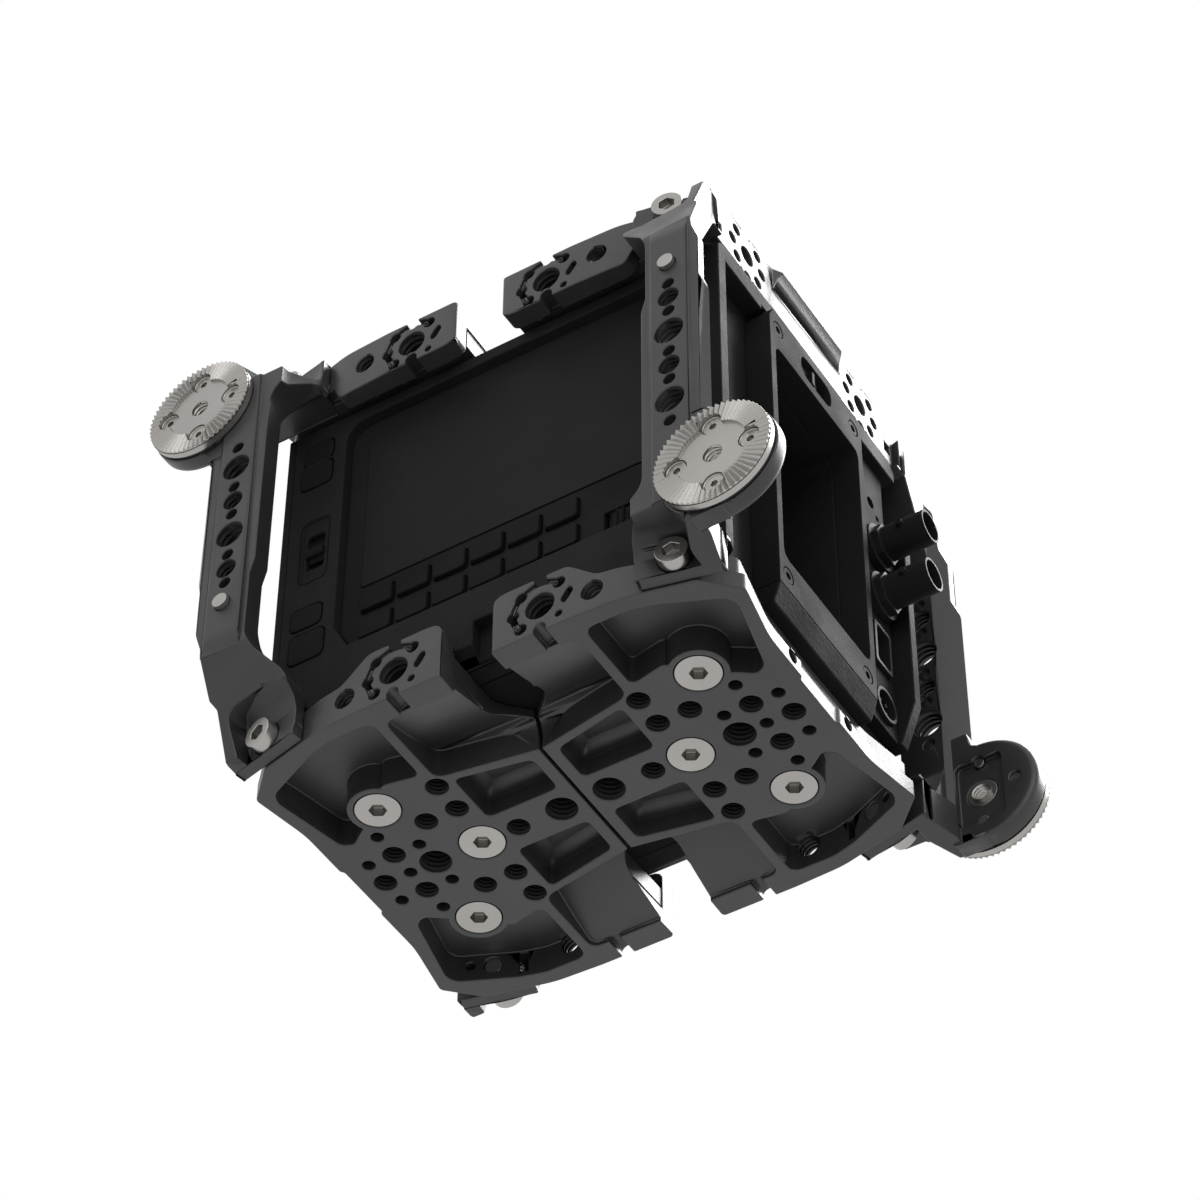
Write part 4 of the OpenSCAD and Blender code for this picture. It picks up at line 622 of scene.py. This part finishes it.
def added(name, data, node, material):
    """A further piece on a CAD node: it rides with the node and takes its finish."""
    data.materials.append(material)
    piece = new_object(name, data)
    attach(piece, body_of(node))


def threads(node, holes, material):
    """Threads in a node's bores. Each hole has a place, an axis, a bore radius, a lead and a length."""
    parts = [turned(thread_rings(radius, lead, length), place, axis) for place, axis, radius, lead, length in holes]
    added(node + "_threads", joined(node + "_threads", parts), node, material)


def floor_loops(mesh, height, up):
    """The closed outlines of a plate's pocket floors, as pairs of arrays: points, and mitred wall normals.

    The floor faces look along up at that height. An outline edge joins a floor face to a wall that rises from it.
    The outlines start in the order of the mesh's edges, so that each run gives the same mesh.
    """
    beside = {}
    for edge in mesh.edges:
        if len(edge.link_faces) != 2:
            continue
        flat = [f for f in edge.link_faces
                if f.normal.z * up > FLOOR_UPRIGHT and abs(f.verts[0].co.z - height) < SAME_HEIGHT]
        wall = [f for f in edge.link_faces
                if abs(f.normal.z) < WALL_UPRIGHT and (f.calc_center_median().z - height) * up > 0]
        if len(flat) == 1 and len(wall) == 1:
            for one, other in (edge.verts, reversed(edge.verts)):
                beside.setdefault(one, []).append((other, wall[0].normal))
    loops = []
    left = {vertex for vertex, found in beside.items() if len(found) == 2}
    for first in beside:
        if first not in left:
            continue
        left.discard(first)
        previous, chain, step = first, [first], beside[first][0][0]
        while step in left:
            left.discard(step)
            chain.append(step)
            step, previous = next(v for v, _ in beside[step] if v is not previous), step
        if step is first and len(chain) > 2:
            points = np.array([v.co for v in chain])
            sides = np.array([[normal[:] for _, normal in beside[v]] for v in chain])
            middle = sides.sum(1)
            middle /= np.linalg.norm(middle, axis=1, keepdims=True)
            mitre = np.maximum((middle * sides[:, 0]).sum(1, keepdims=True), MITRE_LIMIT)
            loops.append((points, middle / mitre))
    return loops


def cove_rings(points, normals, radius, up, steps=7):
    """Rings of the fillet along a pocket's outline: a quarter circle between wall and floor, and a buried corner.

    With c the point moved by radius along its normal n and along up, the surface is c - radius (n cos a + up sin a).
    """
    rise = np.array((0, 0, up))
    angle = np.linspace(0, pi / 2, steps)[None, :, None]
    n = normals[:, None, :]
    centre = points[:, None, :] + radius * (n + rise)
    arc = centre - radius * (n * np.cos(angle) + rise * np.sin(angle))
    corner = points[:, None, :] - BURIED * (n + rise)
    return np.concatenate([arc, corner], 1)


def coves(node, height, up, radius, material):
    """Fillets where a plate's pocket walls meet their floors."""
    mesh = merged(node)
    parts = [cove_rings(points, normals, radius, up) for points, normals in floor_loops(mesh, height, up)]
    mesh.free()
    added(node + "_fillets", joined(node + "_fillets", parts, closed_path=True), node, material)


def corner_signs(corner):
    """Which way a corner lies along X, right 1 and left -1, and along Y, front 1 and rear -1."""
    return (1 if corner.endswith("right") else -1), (1 if corner.startswith("front") else -1)


def lattice_holes(outer, up, away, pitch):
    """The threaded holes in the outer face of a half plate, as threads takes them."""
    holes = []
    for shares, (radius, lead) in ((QUARTER_SHARES, QUARTER), (WIDE_SHARES, WIDE)):
        for across, along in shares:
            for side in ((1, -1) if across else (1,)):
                x, y = side * across * pitch, away * (GROUP_SHARE + along) * pitch
                holes.append(((x, y, outer), (0, 0, -up), radius, lead, PLATE_THICKNESS))
    return holes


def tab_holes(outer, up, away):
    """The threaded holes in the ends of a half plate's tabs, as threads takes them."""
    holes = []
    for side in (1, -1):
        for along, rise, thread in ((TAB_ALONG, TAB_RISE, WIDE), (BESIDE_ALONG, BESIDE_RISE[up], QUARTER)):
            holes.append(((side * TAB_OUT, away * along, outer - up * rise), (-side, 0, 0), *thread, TAB_LENGTH))
    return holes


class Plates(bpy.types.Operator):
    """Plates with broken edges, threaded holes and filleted pockets"""

    bl_idname = "cage.plates"
    bl_label = "Plates"

    def execute(self, context):
        cage = cage_settings()
        for node in PLATES:
            dressed(node, plate_metal(), cage.edge)
            up = 1 if node.startswith("top") else -1
            away = 1 if node.endswith("front") else -1
            outer = HEIGHT if up > 0 else 0
            coves(node, outer - up * POCKET_DEPTH, up, cage.fillet, plate_metal())
            threads(node, lattice_holes(outer, up, away, cage.pitch) + tab_holes(outer, up, away), bore_metal())
        return {"FINISHED"}


class SideBars(bpy.types.Operator):
    """Side bars with broken edges and threaded holes"""

    bl_idname = "cage.side_bars"
    bl_label = "Side bars"

    def execute(self, context):
        cage = cage_settings()
        for corner in CORNERS:
            node = "side_bar_" + corner
            dressed(node, bar_metal(), cage.edge)
            side, away = corner_signs(corner)
            holes = []
            for share, (radius, lead) in BAR_HOLES:
                z = HEIGHT / 2 - away * share * cage.pitch
                holes.append(((side * BAR_OUT, away * BAR_ALONG, z), (-side, 0, 0), radius, lead, BAR_LENGTH))
            threads(node, holes, bore_metal())
        return {"FINISHED"}


class Rosettes(bpy.types.Operator):
    """Toothed rosettes of blasted steel with their screws and inserts"""

    bl_idname = "cage.rosettes"
    bl_label = "Rosettes"

    def execute(self, context):
        for corner in CORNERS:
            node = "rosette_" + corner
            dressed(node, blasted_steel(), TOOTH_EDGE, angle=TOOTH_ANGLE, segments=1)
            side, away = corner_signs(corner)
            z = HEIGHT - ROSETTE_RISE if away > 0 else ROSETTE_RISE
            threads(node, [((side * HUB_OUT, away * ROSETTE_ALONG, z), (-side, 0, 0), *METRIC_SIX, HUB_LENGTH)],
                    blasted_steel())
        for node in ("rosette_screws", "rosette_inserts"):
            dressed(node, steel(), FINE_EDGE)
        return {"FINISHED"}


class Screws(bpy.types.Operator):
    """Steel screws and pins of the cage"""

    bl_idname = "cage.screws"
    bl_label = "Screws"

    def execute(self, context):
        for node in ("base_screws", "top_screws", "foot_screws", "bar_pins"):
            dressed(node, steel(), SCREW_EDGE)
        return {"FINISHED"}


class Casing(bpy.types.Operator):
    """Casing of the camera"""

    bl_idname = "cage.casing"
    bl_label = "Casing"

    def execute(self, context):
        camera = camera_settings()
        for node in ("body_shell", "front_cover", "battery_well"):
            dressed(node, casing_plastic(), camera.edge)
        for node in ("base_cover", "battery_frame", "connector_panel", "control_panel"):
            dressed(node, trim_plastic(), camera.edge / 2)
        return {"FINISHED"}


class Rear(bpy.types.Operator):
    """Sockets, latch and contacts at the rear"""

    bl_idname = "cage.rear"
    bl_label = "Rear sockets"

    def execute(self, context):
        for node in ("video_jack_upper", "video_jack_lower", "data_port", "power_socket"):
            dressed(node, socket_metal(), SOCKET_EDGE)
        dressed("battery_latch", key_plastic(), SCREW_EDGE)
        dressed("battery_contacts", gold_plate(), SCREW_EDGE)
        dressed("frame_screws", dark_oxide(), SOCKET_EDGE)
        return {"FINISHED"}


class Controls(bpy.types.Operator):
    """Display, keys, buttons, switch and wheel"""

    bl_idname = "cage.controls"
    bl_label = "Controls"

    def execute(self, context):
        camera = camera_settings()
        dressed("display_glass", display_cover(), SCREW_EDGE)
        for node in KEYS + BUTTONS + ["slide_switch", "thumb_wheel"]:
            dressed(node, key_plastic(), camera.key_edge, segments=3)
        dressed("wheel_axle", steel(), FINE_EDGE)
        return {"FINISHED"}


class InnerParts(bpy.types.Operator):
    """Lens mount, sensor and board"""

    bl_idname = "cage.inner_parts"
    bl_label = "Inner parts"

    def execute(self, context):
        dressed("lens_mount", steel(), RING_EDGE)
        dressed("sensor_module", sensor_cover(), FINE_EDGE)
        dressed("main_board", board_green(), FINE_EDGE)
        return {"FINISHED"}


# Stage

def world_light(strength):
    """Surroundings: white to the camera and in reflections, a plain grey light otherwise."""
    world = bpy.data.worlds.new("surroundings")
    world.use_nodes = True
    tree = world.node_tree
    tree.nodes.clear()
    path = add_node(tree, "ShaderNodeLightPath")
    seen = math_node(tree, "MAXIMUM", path.outputs["Is Camera Ray"], path.outputs["Is Glossy Ray"])
    seen = math_node(tree, "MAXIMUM", seen, path.outputs["Is Transmission Ray"])
    plain = add_node(tree, "ShaderNodeBackground", {"Color": (1, 1, 1, 1), "Strength": strength})
    white = add_node(tree, "ShaderNodeBackground", {"Color": (1, 1, 1, 1), "Strength": 1.0})
    mixed = add_node(tree, "ShaderNodeMixShader", {0: seen, 1: plain.outputs[0], 2: white.outputs[0]})
    output = add_node(tree, "ShaderNodeOutputWorld")
    tree.links.new(mixed.outputs[0], output.inputs["Surface"])
    bpy.context.scene.world = world


def floor_material():
    """A pale floor that shows from above only, with the object's shadow on it."""
    material = bpy.data.materials.new("pale floor")
    material.use_nodes = True
    tree = material.node_tree
    shader = tree.nodes["Principled BSDF"]
    shader.inputs["Base Color"].default_value = (0.9, 0.9, 0.9, 1)
    shader.inputs["Roughness"].default_value = 0.9
    shader.inputs["Specular IOR Level"].default_value = 0.1
    behind = add_node(tree, "ShaderNodeNewGeometry").outputs["Backfacing"]
    clear = add_node(tree, "ShaderNodeBsdfTransparent")
    mixed = add_node(tree, "ShaderNodeMixShader", {0: behind, 1: shader.outputs[0], 2: clear.outputs[0]})
    output = tree.nodes["Material Output"]
    tree.links.new(mixed.outputs[0], output.inputs["Surface"])
    return material


def area_light(name, direction, distance, size, power):
    """A square light at a distance from the object's middle, turned towards it."""
    middle = (CAD_LOW + CAD_HIGH) / 2
    light = bpy.data.lights.new(name, "AREA")
    light.size = size
    light.energy = power
    lamp = new_object(name, light)
    place = middle + Vector(direction).normalized() * distance
    lamp.matrix_world = Matrix.Translation(place) @ (middle - place).to_track_quat("-Z", "Y").to_matrix().to_4x4()


def photo_camera(stage):
    """The camera at the photo's place: its axes are worked out from azimuth, elevation and roll."""
    a, e = stage.azimuth, stage.elevation
    back = Vector((sin(a) * cos(e), -cos(a) * cos(e), sin(e)))
    right = Vector((cos(a), sin(a), 0))
    axes = Matrix((right, back.cross(right), back)).transposed().to_4x4()
    place = axes @ Matrix.Rotation(stage.roll, 4, "Z")
    place.translation = stage.place
    data = bpy.data.cameras.new("photo_camera")
    data.sensor_width = 36
    data.lens = stage.focal_pixels * data.sensor_width / PHOTO_PIXELS
    data.clip_start = 0.01
    camera = new_object("photo_camera", data)
    camera.matrix_world = place
    bpy.context.scene.camera = camera


class Stage(bpy.types.Operator):
    """Floor, lights and camera"""

    bl_idname = "cage.stage"
    bl_label = "Stage"

    def execute(self, context):
        stage = stage_settings()
        world_light(stage.world_strength)
        half = stage.floor_size / 2
        data = bpy.data.meshes.new("floor")
        data.from_pydata([(-half, -half, 0), (half, -half, 0), (half, half, 0), (-half, half, 0)], [], [(0, 1, 2, 3)])
        data.transform(Matrix.Translation((0, 0, CAD_LOW.z)))
        data.materials.append(floor_material())
        floor = new_object("floor", data)
        floor.visible_diffuse = False
        floor.visible_glossy = False
        floor.visible_shadow = False
        floor.visible_transmission = False
        area_light("key_light", *KEY_LIGHT, stage.key_power)
        area_light("fill_light", *FILL_LIGHT, stage.fill_power)
        photo_camera(stage)
        context.scene.view_settings.view_transform = "Standard"
        return {"FINISHED"}


OPERATORS = (Plates, SideBars, Rosettes, Screws, Casing, Rear, Controls, InnerParts, Stage)


class CagePanel(bpy.types.Panel):
    """The buttons that build the cage and the camera"""

    bl_idname = "VIEW3D_PT_camera_cage"
    bl_label = "Camera cage"
    bl_space_type = "VIEW_3D"
    bl_region_type = "UI"
    bl_category = "Camera cage"

    def draw(self, context):
        for made in OPERATORS:
            self.layout.operator(made.bl_idname)
        for group in (cage_settings(), camera_settings(), stage_settings()):
            box = self.layout.box()
            for name in group.__annotations__:
                box.prop(group, name)


CLASSES = (CageSettings, CameraSettings, StageSettings, *OPERATORS, CagePanel)


def register():
    """Registers the classes and puts the settings on the scene."""
    for made in CLASSES:
        bpy.utils.register_class(made)
    bpy.types.Scene.cage_settings = PointerProperty(type=CageSettings)
    bpy.types.Scene.cage_camera = PointerProperty(type=CameraSettings)
    bpy.types.Scene.cage_stage = PointerProperty(type=StageSettings)


def unregister():
    """Takes the settings and the classes away again."""
    del bpy.types.Scene.cage_stage
    del bpy.types.Scene.cage_camera
    del bpy.types.Scene.cage_settings
    for made in reversed(CLASSES):
        bpy.utils.unregister_class(made)


def main():
    """Builds every piece and the stage."""
    register()
    for made in OPERATORS:
        group, name = made.bl_idname.split(".")
        getattr(getattr(bpy.ops, group), name)()


if __name__ == "__main__":
    main()
